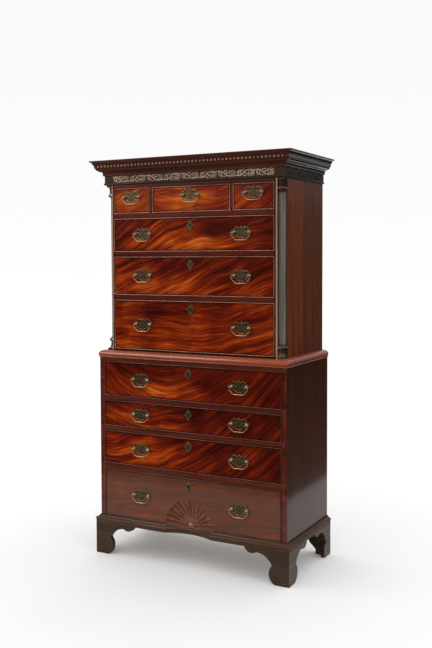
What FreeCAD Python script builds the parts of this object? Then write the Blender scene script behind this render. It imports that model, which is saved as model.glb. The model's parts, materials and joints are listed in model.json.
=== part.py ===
import FreeCAD, Part
import math
import os
import re

import Sketcher
from FreeCAD import Rotation, Vector

# A chest on chest: a lower case of four long drawers on bracket feet carries an upper case of three
# short and three long drawers between fluted quarter columns, under a carved frieze and a cornice.
# Millimetres, +Z up, front towards -Y, origin under the middle of the outer box, on the floor.

SIZES = {
    # cases
    "total_tall": 1880,
    "case_deep": 482,
    "case_step": 26,
    "cornice_reach": 58,
    "lower_half": 488,
    "side_thick": 25,
    "board_thick": 18,
    "back_thick": 12,
    "rail_deep": 60,
    "runner_wide": 24,
    "dust_thick": 8,
    "housing_deep": 8,
    "post_leaf": 13,
    "stop_wide": 44,
    "stop_deep": 28,
    "stop_thick": 5,
    # levels above the floor
    "apron_low": 150,
    "case_floor": 185,
    "waist_low": 948,
    "case_joint": 966,
    "waist_top": 982,
    "column_top": 1767,
    "frieze_low": 1776,
    "cornice_low": 1810,
    "case_top": 1870,
    # drawers: height of the floor, and height of the face
    "lower_drawer_1_floor": 766,
    "lower_drawer_1_tall": 163.5,
    "lower_drawer_2_floor": 621.5,
    "lower_drawer_2_tall": 121.5,
    "lower_drawer_3_floor": 440.5,
    "lower_drawer_3_tall": 157,
    "lower_drawer_4_floor": 185,
    "lower_drawer_4_tall": 228,
    "short_drawer_floor": 1631,
    "short_drawer_tall": 117,
    "upper_drawer_1_floor": 1451,
    "upper_drawer_1_tall": 155,
    "upper_drawer_2_floor": 1247.5,
    "upper_drawer_2_tall": 179.5,
    "upper_drawer_3_floor": 990,
    "upper_drawer_3_tall": 233.5,
    "drawer_gap": 1,
    "middle_half": 202,
    "partition_thick": 14,
    # drawer boards
    "front_thick": 22,
    "drawer_side": 10,
    "drawer_back": 9,
    "bottom_thick": 7,
    "bottom_lift": 8,
    "bottom_groove": 5,
    "side_drop": 6,
    "back_drop": 12,
    "rear_space": 8,
    "dovetail_lap": 7,
    "bead_wide": 4,
    "bead_proud": 2.5,
    # fan niche
    "fan_half": 127,
    "fan_sink": 30,
    "fan_hub": 20,
    "fan_hub_proud": 8,
    "fan_rim": 7,
    "fan_flutes": 13,
    "fan_gouge": 19,
    "fan_margin": 13,
    "fan_block": 22,
    # brasses
    "handle_reach": 258,
    "short_handle_lift": 13.5,
    "post_reach": 37,
    "post_lift": 4,
    "post_shank": 5,
    "post_stand": 10,
    "head_size": 9,
    "plate_thick": 1.8,
    "bail_wire": 2.3,
    "bail_drop": 38,
    "bail_half": 47,
    "scutcheon_below": 38,
    "lock_wide": 56,
    "lock_tall": 50,
    "lock_thick": 9,
    "bolt_tall": 8,
    "keyhole_half": 2,
    # quarter columns
    "column_wide": 31,
    "column_deep": 39,
    "shaft_radius": 24,
    "cap_tall": 60,
    "cap_wide": 23,
    "cap_deep": 30,
    "cap_round": 16,
    "plinth_margin": 2,
    "plinth_tall": 9,
    "column_flutes": 5,
    "flute_radius": 5,
    "ridge": 1.5,
    # mouldings
    "base_proud": 18,
    "base_bead": 3.5,
    "base_ledge": 45,
    "waist_proud": 6,
    "waist_round": 21,
    "astragal_proud": 9,
    "frieze_proud": 4.5,
    "dentil_pitch": 19,
    "dentil_wide": 10,
    "dentil_tall": 9,
    "dentil_deep": 5,
    "dentil_below": 32,
    # bracket feet
    "foot_thick": 20,
    "block_size": 36,
    "block_lift": 6,
}

document = FreeCAD.newDocument("chest_on_chest")
sheet = document.addObject("Spreadsheet::Sheet", "dim")
for row, (alias, size) in enumerate(SIZES.items(), 1):
    sheet.set(f"A{row}", alias)
    sheet.set(f"B{row}", str(size))
    sheet.setAlias(f"B{row}", alias)
document.recompute()


# %% helpers: expressions, boards, sketches, sweeps


def bound(text):
    """The expression with every driving dimension's name pointed at the sheet."""
    return re.sub(r"[a-z]\w*", lambda word: "dim." + word[0] if word[0] in SIZES else word[0], str(text))


def number(text):
    """What an expression of driving dimensions comes to."""
    return float(sheet.evalExpression(bound(text)))


def place(shape, x, y, z, rotation=None):
    """Moves an object to a place given as expressions."""
    if rotation:
        shape.Placement.Rotation = rotation
    for axis, text in zip("xyz", (x, y, z)):
        shape.setExpression(f"Placement.Base.{axis}", bound(text))
    return shape


def board(name, x, y, z):
    """A rectangular board between two expressions along each axis."""
    box = document.addObject("Part::Box", name)
    for side, (low, high) in zip(("Length", "Width", "Height"), (x, y, z)):
        box.setExpression(side, bound(f"({high}) - ({low})"))
    return place(box, x[0], y[0], z[0])


def group(name, shapes):
    """Separate solids kept together as one sub-part."""
    compound = document.addObject("Part::Compound", name)
    compound.Links = shapes
    return compound


def cut(name, base, tool):
    difference = document.addObject("Part::Cut", name)
    difference.Base = base
    difference.Tool = tool
    return difference


def mirrored(name, shape):
    """The same piece on the other side of the chest."""
    mirror = document.addObject("Part::Mirroring", name)
    mirror.Source = shape
    mirror.Normal = Vector(1, 0, 0)
    return mirror


def new_body(name):
    return document.addObject("PartDesign::Body", name)


def new_sketch(body, name, plane, offset="0"):
    """An empty sketch on one of the body's origin planes, moved along the plane's normal."""
    sketch = body.newObject("Sketcher::SketchObject", name)
    origin_plane = next(item for item in body.Origin.OriginFeatures if item.Role == plane)
    sketch.AttachmentSupport = [(origin_plane, "")]
    sketch.MapMode = "FlatFace"
    sketch.setExpression("AttachmentOffset.Base.z", bound(offset))
    return sketch


def draw(sketch, points, arcs=None, closed=True):
    """Draws lines and arcs through points, each point a pair of expressions.

    arcs gives, for the run that leaves a point, a radius; it is negative where the arc turns clockwise.
    """
    arcs = arcs or {}
    first = sketch.GeometryCount
    spots = [Vector(number(across), number(along), 0) for across, along in points]
    runs = len(points) if closed else len(points) - 1
    for index in range(runs):
        start = spots[index]
        end = spots[(index + 1) % len(points)]
        if index in arcs:
            sketch.addGeometry(arc_between(start, end, number(arcs[index])), False)
        else:
            sketch.addGeometry(Part.LineSegment(start, end), False)
    for index in range(runs if closed else runs - 1):
        following = (index + 1) % runs
        end_of = end_points(arcs, index, 2)
        start_of = end_points(arcs, following, 1)
        joined = Sketcher.Constraint("Coincident", first + index, end_of, first + following, start_of)
        sketch.addConstraint(joined)
    for index, (across, along) in enumerate(points):
        run = min(index, runs - 1)
        vertex = end_points(arcs, run, 1 if index < runs else 2)
        pin_point(sketch, first + run, vertex, spots[index], (across, along))
    for index, radius in arcs.items():
        added = sketch.addConstraint(Sketcher.Constraint("Radius", first + index, abs(number(radius))))
        sketch.setExpression(f"Constraints[{added}]", bound(f"abs({radius})"))
    return sketch


def end_points(arcs, index, end):
    """Which end of a run a constraint means: a clockwise arc is stored from its far end."""
    backwards = index in arcs and number(arcs[index]) < 0
    return 3 - end if backwards else end


def arc_between(start, end, radius):
    """A short arc from start to end, anticlockwise for a positive radius."""
    if radius < 0:
        start, end, radius = end, start, -radius
    chord = end - start
    normal = Vector(-chord.y, chord.x, 0).normalize()
    centre = (start + end) / 2 + normal * (radius**2 - chord.Length**2 / 4) ** 0.5
    circle = Part.Circle(centre, Vector(0, 0, 1), radius)
    return Part.ArcOfCircle(circle, circle.parameter(start), circle.parameter(end))


def pin_point(sketch, run, vertex, spot, texts):
    """Holds a vertex at its two expressions, measured from the sketch's origin."""
    for kind, value, text, axis in zip(("DistanceX", "DistanceY"), (spot.x, spot.y), texts, (-2, -1)):
        if abs(value) < 1e-9:
            sketch.addConstraint(Sketcher.Constraint("PointOnObject", run, vertex, axis))
        else:
            added = sketch.addConstraint(Sketcher.Constraint(kind, -1, 1, run, vertex, value))
            sketch.setExpression(f"Constraints[{added}]", bound(text))


def pad(body, name, profile, length, backwards=False):
    feature = body.newObject("PartDesign::Pad", name)
    feature.Profile = profile
    feature.setExpression("Length", bound(length))
    feature.Reversed = backwards
    return feature


def moulding(name, section, section_arcs, path, path_arcs=None):
    """A moulding swept round a case: section points are (outward, up), the path starts at the back left."""
    body = new_body(name)
    spine = draw(new_sketch(body, name + "_path", "XY_Plane"), path, path_arcs, closed=False)
    outward = [(f"{path[0][0]} - ({out})", up) for out, up in section]
    turned = {index: f"-({radius})" for index, radius in section_arcs.items()}
    profile = draw(new_sketch(body, name + "_section", "XZ_Plane", f"-({path[0][1]})"), outward, turned)
    sweep = body.newObject("PartDesign::AdditivePipe", name + "_sweep")
    sweep.Profile = profile
    sweep.Spine = spine
    sweep.Transition = "Right corner"
    return body


# %% places shared by the pieces

FRONT = "((cornice_reach - case_step - case_deep) / 2)"
BACK = "((cornice_reach - case_step + case_deep) / 2)"
UPPER_FRONT = f"({FRONT} + case_step)"
UPPER_HALF = "(lower_half - case_step)"
LOWER_OPEN = "(lower_half - side_thick)"
COLUMN_X = f"({UPPER_HALF} - column_wide)"
COLUMN_Y = f"({UPPER_FRONT} + column_deep)"
UPPER_OPEN = f"({COLUMN_X} - post_leaf)"
INNER_BACK = f"({BACK} - back_thick)"
DENTIL_OUT = "(cornice_reach - 17)"
SHORT_INNER = "(middle_half + drawer_gap + partition_thick + drawer_gap)"
SHORT_X = f"(({UPPER_OPEN} - drawer_gap + {SHORT_INNER}) / 2)"
SHORT_HALF = f"(({UPPER_OPEN} - drawer_gap - {SHORT_INNER}) / 2)"
NICHE_RADIUS = "((fan_half^2 + fan_sink^2) / (2 * fan_sink))"

LOWER_DRAWERS = ["lower_drawer_1", "lower_drawer_2", "lower_drawer_3", "lower_drawer_4"]
UPPER_DRAWERS = ["short_drawer", "upper_drawer_1", "upper_drawer_2", "upper_drawer_3"]


def both_sides(name, x, y, z):
    """A board on the left and the same board on the right, x given for the right."""
    left = (f"-({x[1]})", f"-({x[0]})")
    return [board(name + "_left", left, y, z), board(name + "_right", x, y, z)]


def rail_levels(drawers):
    """The rail between each drawer and the one above it: its underside and its top."""
    levels = []
    for upper, lower in zip(drawers, drawers[1:]):
        levels.append((f"{lower}_floor + {lower}_tall + drawer_gap", f"{upper}_floor"))
    return levels


# %% inside work of the cases: rails, runners, guides and dust boards


def rails(name, face, opening, reach, drawers):
    """Each level has a rail in front, a runner at each side and a thin dust board between them."""
    pieces = []
    rail_back = f"{face} + rail_deep"
    for count, (low, high) in enumerate(rail_levels(drawers), 1):
        level = f"{name}_{count}"
        pieces.append(board(f"{level}_rail", (f"-({opening})", opening), (face, rail_back), (low, high)))
        runner_in = f"{opening} - runner_wide"
        runner_low = f"{high} - board_thick"
        depth = (rail_back, INNER_BACK)
        pieces += both_sides(f"{level}_runner", (runner_in, reach), depth, (runner_low, high))
        dust = (f"{runner_low} + dust_thick / 2", f"{runner_low} + dust_thick * 1.5")
        pieces.append(board(f"{level}_dust", (f"-({runner_in})", runner_in), (rail_back, INNER_BACK), dust))
    return pieces


def stops(face, places):
    """Small blocks behind the drawer fronts; each place is a drawer and a distance from the middle."""
    blocks = []
    deep = (f"{face} + front_thick", f"{face} + front_thick + stop_deep")
    for drawer_name, x in places:
        wide = (f"{x} - stop_wide / 2", f"{x} + stop_wide / 2")
        tall = (f"{drawer_name}_floor", f"{drawer_name}_floor + stop_thick")
        blocks += both_sides(f"{drawer_name}_stop", wide, deep, tall)
    return blocks


def lower_inside():
    pieces = rails("lower_level", FRONT, LOWER_OPEN, f"{LOWER_OPEN} + housing_deep", LOWER_DRAWERS)
    pieces += stops(FRONT, [(name, "handle_reach") for name in LOWER_DRAWERS])
    return group("lower_rails", pieces)


def upper_inside():
    """The upper case also has partitions between the short drawers and guides beside its drawers."""
    side_face = f"({UPPER_HALF} - side_thick)"
    pieces = rails("upper_level", UPPER_FRONT, UPPER_OPEN, f"{side_face} + housing_deep", UPPER_DRAWERS)
    post_back = f"{COLUMN_Y} + rail_deep / 2"
    short_top = "short_drawer_floor + short_drawer_tall + drawer_gap"
    partition = ("middle_half + drawer_gap", f"{SHORT_INNER} - drawer_gap")
    depth = (UPPER_FRONT, INNER_BACK)
    pieces += both_sides("partition", partition, depth, ("short_drawer_floor", short_top))
    under_partition = ("middle_half - runner_wide / 2", f"{SHORT_INNER} + runner_wide / 2")
    runner_level = ("short_drawer_floor - board_thick + dust_thick * 1.5", "short_drawer_floor")
    rail_back = f"{UPPER_FRONT} + rail_deep"
    pieces += both_sides("partition_runner", under_partition, (rail_back, INNER_BACK), runner_level)
    pieces += stops(UPPER_FRONT, [(name, "handle_reach") for name in UPPER_DRAWERS[1:]])
    pieces += stops(UPPER_FRONT, [("short_drawer", SHORT_X), ("short_drawer", "middle_half / 2")])
    across = (f"-{UPPER_OPEN}", UPPER_OPEN)
    fascia_back = f"{UPPER_FRONT} + board_thick"
    rail_depth = (UPPER_FRONT, f"{UPPER_FRONT} + rail_deep")
    pieces.append(board("top_rail", across, rail_depth, (short_top, "column_top")))
    between = (f"-{side_face}", side_face)
    pieces.append(board("fascia", between, (UPPER_FRONT, fascia_back), ("column_top", "case_top")))
    for drawer in UPPER_DRAWERS:
        guide = (f"{drawer}_floor", f"{drawer}_floor + board_thick")
        pieces += both_sides(f"{drawer}_guide", (UPPER_OPEN, side_face), (post_back, INNER_BACK), guide)
    return group("upper_rails", pieces)


# %% the two cases


def lower_case(inside):
    """Two sides housed for every rail and runner, with a bottom board and a top board between them."""
    height = ("case_floor - board_thick", "case_joint")
    sides = both_sides("lower_side", (LOWER_OPEN, "lower_half"), (FRONT, BACK), height)
    reach = (f"-({LOWER_OPEN} + housing_deep)", f"{LOWER_OPEN} + housing_deep")
    depth = (FRONT, INNER_BACK)
    bottom = board("lower_bottom_board", reach, depth, ("case_floor - board_thick", "case_floor"))
    hollow = document.addObject("Part::Cylinder", "lower_bottom_hollow")
    hollow.setExpression("Radius", bound(NICHE_RADIUS))
    hollow.setExpression("Height", bound("case_floor"))
    place(hollow, "0", f"{FRONT} + fan_sink - {NICHE_RADIUS}", "0")
    bottom = cut("lower_bottom", bottom, hollow)
    under_top = "lower_drawer_1_floor + lower_drawer_1_tall + drawer_gap"
    top_rail_deep = (FRONT, f"{FRONT} + rail_deep")
    opening = (f"-{LOWER_OPEN}", LOWER_OPEN)
    top_rail = board("lower_top_rail", opening, top_rail_deep, (under_top, "waist_low"))
    top = board("lower_top", reach, depth, ("waist_low", "case_joint"))
    rebates = backboard_rebates("lower", LOWER_OPEN, ("case_floor - board_thick", "case_joint"))
    tool = group("lower_housings", [inside, bottom, top, rebates])
    housed = [cut(side.Name + "_housed", side, tool) for side in sides]
    return group("lower_carcase", housed + [bottom, top, top_rail])


def backboard_rebates(name, half, height):
    """The space that the backboards fill, let into the back edges of the sides."""
    wide = (f"-({half} + housing_deep)", f"{half} + housing_deep")
    return board(name + "_rebate", wide, (INNER_BACK, BACK), height)


def backboards(name, half, height, count):
    """Plain upright boards nailed into the rebates."""
    wide = f"({half} + housing_deep) * 2 / {count}"
    boards = []
    for index in range(count):
        low = f"-({half} + housing_deep) + {wide} * {index}"
        boards.append(board(f"{name}_{index + 1}", (low, f"{low} + {wide}"), (INNER_BACK, BACK), height))
    return group(name, boards)


def corner_post():
    """An upright behind the right quarter column, with a thin leaf that shows beside the drawers."""
    body = new_body("corner_post_right")
    leaf = f"{UPPER_HALF} - side_thick"
    deep = f"{COLUMN_Y} + rail_deep / 2"
    outline = [
        (UPPER_OPEN, UPPER_FRONT),
        (COLUMN_X, UPPER_FRONT),
        (COLUMN_X, COLUMN_Y),
        (leaf, COLUMN_Y),
        (leaf, deep),
        (UPPER_OPEN, deep),
    ]
    sketch = draw(new_sketch(body, "corner_post_plan", "XY_Plane", "upper_drawer_3_floor"), outline)
    pad(body, "corner_post_pad", sketch, "column_top - upper_drawer_3_floor")
    return body


def upper_case(inside):
    """Like the lower case, but its front corners are cut away for the quarter columns."""
    side_face = f"({UPPER_HALF} - side_thick)"
    whole = ("case_joint", "case_top")
    sides = both_sides("upper_side", (side_face, UPPER_HALF), (UPPER_FRONT, BACK), whole)
    corner_x = (COLUMN_X, f"{UPPER_HALF} + 1")
    corner_y = (f"{UPPER_FRONT} - 1", COLUMN_Y)
    corners = both_sides("column_corner", corner_x, corner_y, ("waist_top", "column_top"))
    reach = (f"-({side_face} + housing_deep)", f"{side_face} + housing_deep")
    depth = (UPPER_FRONT, INNER_BACK)
    floor = "upper_drawer_3_floor"
    bottom_board = board("upper_bottom_board", reach, depth, ("case_joint", floor))
    bottom = cut("upper_bottom", bottom_board, group("upper_bottom_corners", corners))
    top_front = f"{UPPER_FRONT} + board_thick"
    top_level = ("case_top - board_thick", "case_top")
    top = board("upper_top", reach, (top_front, INNER_BACK), top_level)
    rebates = backboard_rebates("upper", side_face, ("case_joint", "case_top"))
    tool = group("upper_housings", [inside, bottom, top, rebates] + corners)
    housed = [cut(side.Name + "_housed", side, tool) for side in sides]
    post = corner_post()
    posts = [post, mirrored("corner_post_left", post)]
    posts = [cut(piece.Name + "_notched", piece, inside) for piece in posts]
    return group("upper_carcase", housed + [bottom, top] + posts)


# %% mouldings round the cases


def round_lower(half="lower_half", front=FRONT):
    return [(f"-{half}", BACK), (f"-{half}", front), (half, front), (half, BACK)]


def below(level, points):
    """An outline given outwards and downwards from a level, as expressions."""
    return [(out, f"{level} - ({down})") for out, down in points]


def base_moulding():
    """Base frame and apron: it carries the case on a ledge, and its front hollows back under the fan."""
    hollow_and_bead = [
        ("0", "0"),
        ("5", "0"),
        ("9", "7"),
        ("base_proud - 1", "11"),
        ("base_proud + base_bead", "13"),
        ("base_proud + base_bead", "17"),
        ("base_proud", "20"),
    ]
    section = below("case_floor", hollow_and_bead) + [
        ("base_proud", "apron_low"),
        ("-base_ledge", "apron_low"),
        ("-base_ledge", "case_floor - board_thick"),
        ("0", "case_floor - board_thick"),
    ]
    path = round_lower()
    path[2:2] = [("-fan_half", FRONT), ("fan_half", FRONT)]
    frame = moulding("base_frame", section, {}, path, {2: f"-{NICHE_RADIUS}"})
    inner = "lower_half - base_ledge"
    level = ("apron_low", "case_floor - board_thick")
    back_rail = board("base_back_rail", (f"-({inner})", inner), (f"{BACK} - base_ledge", BACK), level)
    return group("base_moulding", [frame, back_rail])


def waist_moulding():
    """A bead, a hollow and a round shoulder that slopes back to the upper case over the joint."""
    bead = [("0", "34"), ("3", "34"), ("3", "29"), ("1.5", "28"), ("waist_proud", "22")]
    section = below("waist_top", bead) + [
        ("waist_proud - waist_round + 2", "waist_top - 1"),
        ("-case_step", "waist_top"),
        ("-case_step", "case_joint"),
        ("0", "case_joint"),
    ]
    return moulding("waist_moulding", section, {1: "2.6", 3: "-8", 4: "waist_round"}, round_lower())


def frieze():
    """A flat frieze board above a half-round astragal."""
    section = [
        ("0", "column_top"),
        ("astragal_proud / 2", "column_top"),
        ("astragal_proud / 2", "frieze_low"),
        ("frieze_proud", "frieze_low + 0.5"),
        ("frieze_proud", "cornice_low"),
        ("0", "cornice_low"),
    ]
    return moulding("frieze", section, {1: "4.6"}, round_lower(UPPER_HALF, UPPER_FRONT))


def cornice():
    """From below: fillet, cove, fillet, ovolo, the flat band behind the dentils, cavetto and top fillet."""
    all_down = "total_tall - cornice_low"
    fillet_and_cove = [("0", all_down), ("9", all_down), ("11", "67"), ("11", "59"), ("21", "50")]
    fillet_and_ovolo = [("24", "50"), ("24", "47.5"), ("36", "37"), ("38", "37"), ("38", "34")]
    band_and_cavetto = [(DENTIL_OUT, "33"), (DENTIL_OUT, "20"), ("cornice_reach - 12", "20")]
    top = [("cornice_reach - 3", "6"), ("cornice_reach", "6"), ("cornice_reach", "0"), ("0", "0")]
    section = below("total_tall", fillet_and_cove + fillet_and_ovolo + band_and_cavetto + top)
    rounds = {3: "-9.5", 6: "11.5", 12: "-13"}
    return moulding("cornice", section, rounds, round_lower(UPPER_HALF, UPPER_FRONT))


def dentils():
    """Small blocks along the front band of the cornice, evenly spread from the middle."""
    body = new_body("dentils")
    low = "total_tall - dentil_below"
    reach = f"{UPPER_HALF} + {DENTIL_OUT}"
    each_side = int(number(f"{reach} - dentil_wide") / number("dentil_pitch"))
    start = f"-dentil_pitch * {each_side} - dentil_wide / 2"
    end = f"{start} + dentil_wide"
    high = f"{low} + dentil_tall"
    outline = [(start, low), (end, low), (end, high), (start, high)]
    band = f"-({UPPER_FRONT} - {DENTIL_OUT})"
    sketch = draw(new_sketch(body, "dentil_outline", "XZ_Plane", band), outline)
    block = pad(body, "dentil", sketch, "dentil_deep")
    document.recompute()
    solids = []
    for index in range(2 * each_side + 1):
        solids.append(block.Shape.translated(Vector(number("dentil_pitch") * index, 0, 0)))
    row = document.addObject("Part::Feature", "dentil_course")
    row.Shape = Part.makeCompound(solids)
    return row


# %% quarter columns


def column_shaft():
    """A quarter of a round shaft, its corner at the origin, with flutes between narrow flat ridges."""
    body = new_body("column_shaft")
    low = "waist_top + cap_tall"
    plan = [("0", "0"), ("-shaft_radius", "0")]
    flutes = {}
    for count in range(int(number("column_flutes"))):
        flutes[len(plan)] = "-flute_radius"
        for turn in (f"{count} * 90 / column_flutes + ridge", f"({count} + 1) * 90 / column_flutes - ridge"):
            plan.append((f"-shaft_radius * cos(({turn}) * 1 deg)", f"-shaft_radius * sin(({turn}) * 1 deg)"))
    plan.append(("0", "-shaft_radius"))
    fluted_plan = draw(new_sketch(body, "shaft_plan", "XY_Plane", low), plan, flutes)
    pad(body, "shaft_pad", fluted_plan, f"column_top - cap_tall - ({low})")
    return body


def column_cap(name, level, upwards):
    """Plinth, hollow and ring round a corner block; upwards is -1 for the capital, which hangs down."""
    body = new_body(name)

    def height(up):
        return f"{level} + {upwards} * ({up})"

    core = [("-cap_wide", "0"), ("-cap_wide", "cap_round - cap_deep")]
    core += [("cap_round - cap_wide", "-cap_deep"), ("0", "-cap_deep")]
    plan = draw(new_sketch(body, name + "_plan", "XY_Plane", level), core + [("0", "0")], {1: "cap_round"})
    pad(body, name + "_core", plan, "cap_tall", upwards < 0)
    wide, deep = "(column_wide - plinth_margin)", "(column_deep - plinth_margin)"
    square = [("0", "0"), (f"-{wide}", "0"), (f"-{wide}", f"-{deep}"), ("0", f"-{deep}")]
    plinth = draw(new_sketch(body, name + "_plinth_plan", "XY_Plane", level), square)
    pad(body, name + "_plinth", plinth, "plinth_tall", upwards < 0)
    hollow = [("-2", "plinth_tall"), ("6", "plinth_tall"), ("1.5", "20"), ("0.5", "39")]
    ring = [("6", "42"), ("7.8", "48"), ("6", "54"), ("0.5", "cap_tall - 3"), ("-2", "cap_tall - 3")]
    section = [(f"-cap_wide - ({out})", height(up)) for out, up in hollow + ring]
    spine = draw(new_sketch(body, name + "_path", "XY_Plane"), core, {1: "cap_round"}, closed=False)
    profile = draw(new_sketch(body, name + "_section", "XZ_Plane"), section)
    sweep = body.newObject("PartDesign::AdditivePipe", name + "_sweep")
    sweep.Profile = profile
    sweep.Spine = spine
    return body


def quarter_columns():
    base = column_cap("column_base", "waist_top", 1)
    capital = column_cap("column_capital", "column_top", -1)
    left = group("column_left", [column_shaft(), base, capital])
    place(left, f"-{COLUMN_X}", COLUMN_Y, "0")
    return group("quarter_columns", [left, mirrored("column_right", left)])


# %% bracket feet

# Each outline, measured from the corner: how far the toe, the waist, the top of the arch and the end
# of the lobe reach; how high the waist is and how far the arch stays below the apron; and the radii
# of the toe, of the hollow over it and of the lobe.
FRONT_BRACKET = {"toe": 68, "waist": 82, "arch": 158, "end": 217, "rise": 85, "dip": 18}
SIDE_BRACKET = {"toe": 62, "waist": 79, "arch": 148, "end": 205, "rise": 83, "dip": 20}
REAR_BRACKET = {"toe": 72, "waist": 60, "arch": 140, "end": 200, "rise": 71, "dip": 13}
BRACKET_ROUNDS = {
    "front_bracket": {1: 53, 2: -88, 3: 38},
    "side_bracket": {1: 49, 2: -74, 3: 36},
    "rear_bracket": {1: 48, 2: -84, 3: 40},
}


def bracket(name, sizes, plane, offset, towards):
    """One scrolled bracket board, drawn on a plane with its corner edge at the sketch's origin."""
    body = new_body(name)
    toe, waist, arch, end = (f"{towards} * {sizes[key]}" for key in ("toe", "waist", "arch", "end"))
    outline = [
        ("0", "0"),
        (toe, "0"),
        (waist, str(sizes["rise"])),
        (arch, f"apron_low - {sizes['dip']}"),
        (end, "apron_low"),
        ("0", "apron_low"),
    ]
    arcs = {point: f"{towards} * {radius}" for point, radius in BRACKET_ROUNDS[name].items()}
    sketch = draw(new_sketch(body, name + "_outline", plane, offset), outline, arcs)
    pad(body, name + "_pad", sketch, "foot_thick")
    return body


def back_bracket(corner_x):
    """The plain board behind a rear foot, cut off on a slant."""
    body = new_body("back_bracket")
    slant = [("52", "0"), ("100", "45"), ("150", "apron_low")]
    outline = [("foot_thick", "0")] + slant + [("foot_thick", "apron_low")]
    sketch = draw(new_sketch(body, "back_bracket_outline", "XZ_Plane"), outline)
    pad(body, "back_bracket_pad", sketch, "foot_thick")
    return place(body, f"-{corner_x}", BACK, "0")


def mitre_wedge(name, corner):
    """What a mitre takes off a bracket board: everything on one side of the diagonal."""
    body = new_body(name)
    far = "foot_thick * 2"
    sketch = draw(new_sketch(body, name + "_plan", "XY_Plane"), [("0", "0")] + corner(far))
    pad(body, name + "_pad", sketch, "apron_low")
    return body


def feet():
    """Four feet: mitred scroll brackets in front and at the sides, plain ones behind, glued to blocks."""
    corner_x = "(lower_half + base_proud)"
    corner_y = f"({FRONT} - base_proud)"
    front = bracket("front_bracket", FRONT_BRACKET, "XZ_Plane", "-foot_thick", 1)
    side = bracket("side_bracket", SIDE_BRACKET, "YZ_Plane", "0", 1)
    behind = mitre_wedge("front_mitre", lambda far: [(far, far), ("0", far)])
    before = mitre_wedge("side_mitre", lambda far: [(far, "0"), (far, far)])
    for piece in (front, side, behind, before):
        place(piece, f"-{corner_x}", corner_y, "0")
    rear = place(bracket("rear_bracket", REAR_BRACKET, "YZ_Plane", "0", -1), f"-{corner_x}", BACK, "0")
    inner_x = f"-{corner_x} + foot_thick"
    front_block_y = f"{corner_y} + foot_thick"
    rear_block_y = f"{BACK} - foot_thick - block_size"
    block_x = (inner_x, f"{inner_x} + block_size")
    height = ("block_lift", "apron_low")
    left = [
        cut("front_bracket_left", front, behind),
        cut("side_bracket_left", side, before),
        rear,
        back_bracket(corner_x),
        board("front_block", block_x, (front_block_y, f"{front_block_y} + block_size"), height),
        board("rear_block", block_x, (rear_block_y, f"{rear_block_y} + block_size"), height),
    ]
    right = [mirrored(piece.Name + "_mirrored", piece) for piece in left]
    return group("bracket_feet", left + right)


# %% drawers


def drawer_side(name, low_x, high_x, face, floor, tall, rear):
    """A side board with dovetail tails on its front end, let into the drawer front."""
    body = new_body(name)
    tails = 2 if number(tall) < 180 else 3
    pitch = f"(({tall}) - side_drop) / {tails}"
    root = f"{face} + front_thick"
    tip = f"{face} + dovetail_lap"
    outline = [(root, floor)]
    for count in range(tails):
        middle = f"{floor} + {pitch} * {count + 0.5}"
        outline.append((root, f"{middle} - {pitch} * 0.25"))
        outline.append((tip, f"{middle} - {pitch} * 0.33"))
        outline.append((tip, f"{middle} + {pitch} * 0.33"))
        outline.append((root, f"{middle} + {pitch} * 0.25"))
    top = f"{floor} + {tall} - side_drop"
    outline += [(root, top), (rear, top), (rear, floor)]
    sketch = draw(new_sketch(body, name + "_outline", "YZ_Plane", low_x), outline)
    pad(body, name + "_pad", sketch, f"({high_x}) - ({low_x})")
    return body


def front_board(name, centre, half, face, floor, tall):
    """The drawer front's board, drawn from the middle of its lower edge."""
    body = place(new_body(name), centre, face, floor)
    outline = [(f"-({half})", "0"), (half, "0"), (half, tall), (f"-({half})", tall)]
    face_sketch = draw(new_sketch(body, name + "_face", "XZ_Plane"), outline)
    pad(body, name + "_pad", face_sketch, "front_thick", True)
    return body


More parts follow.
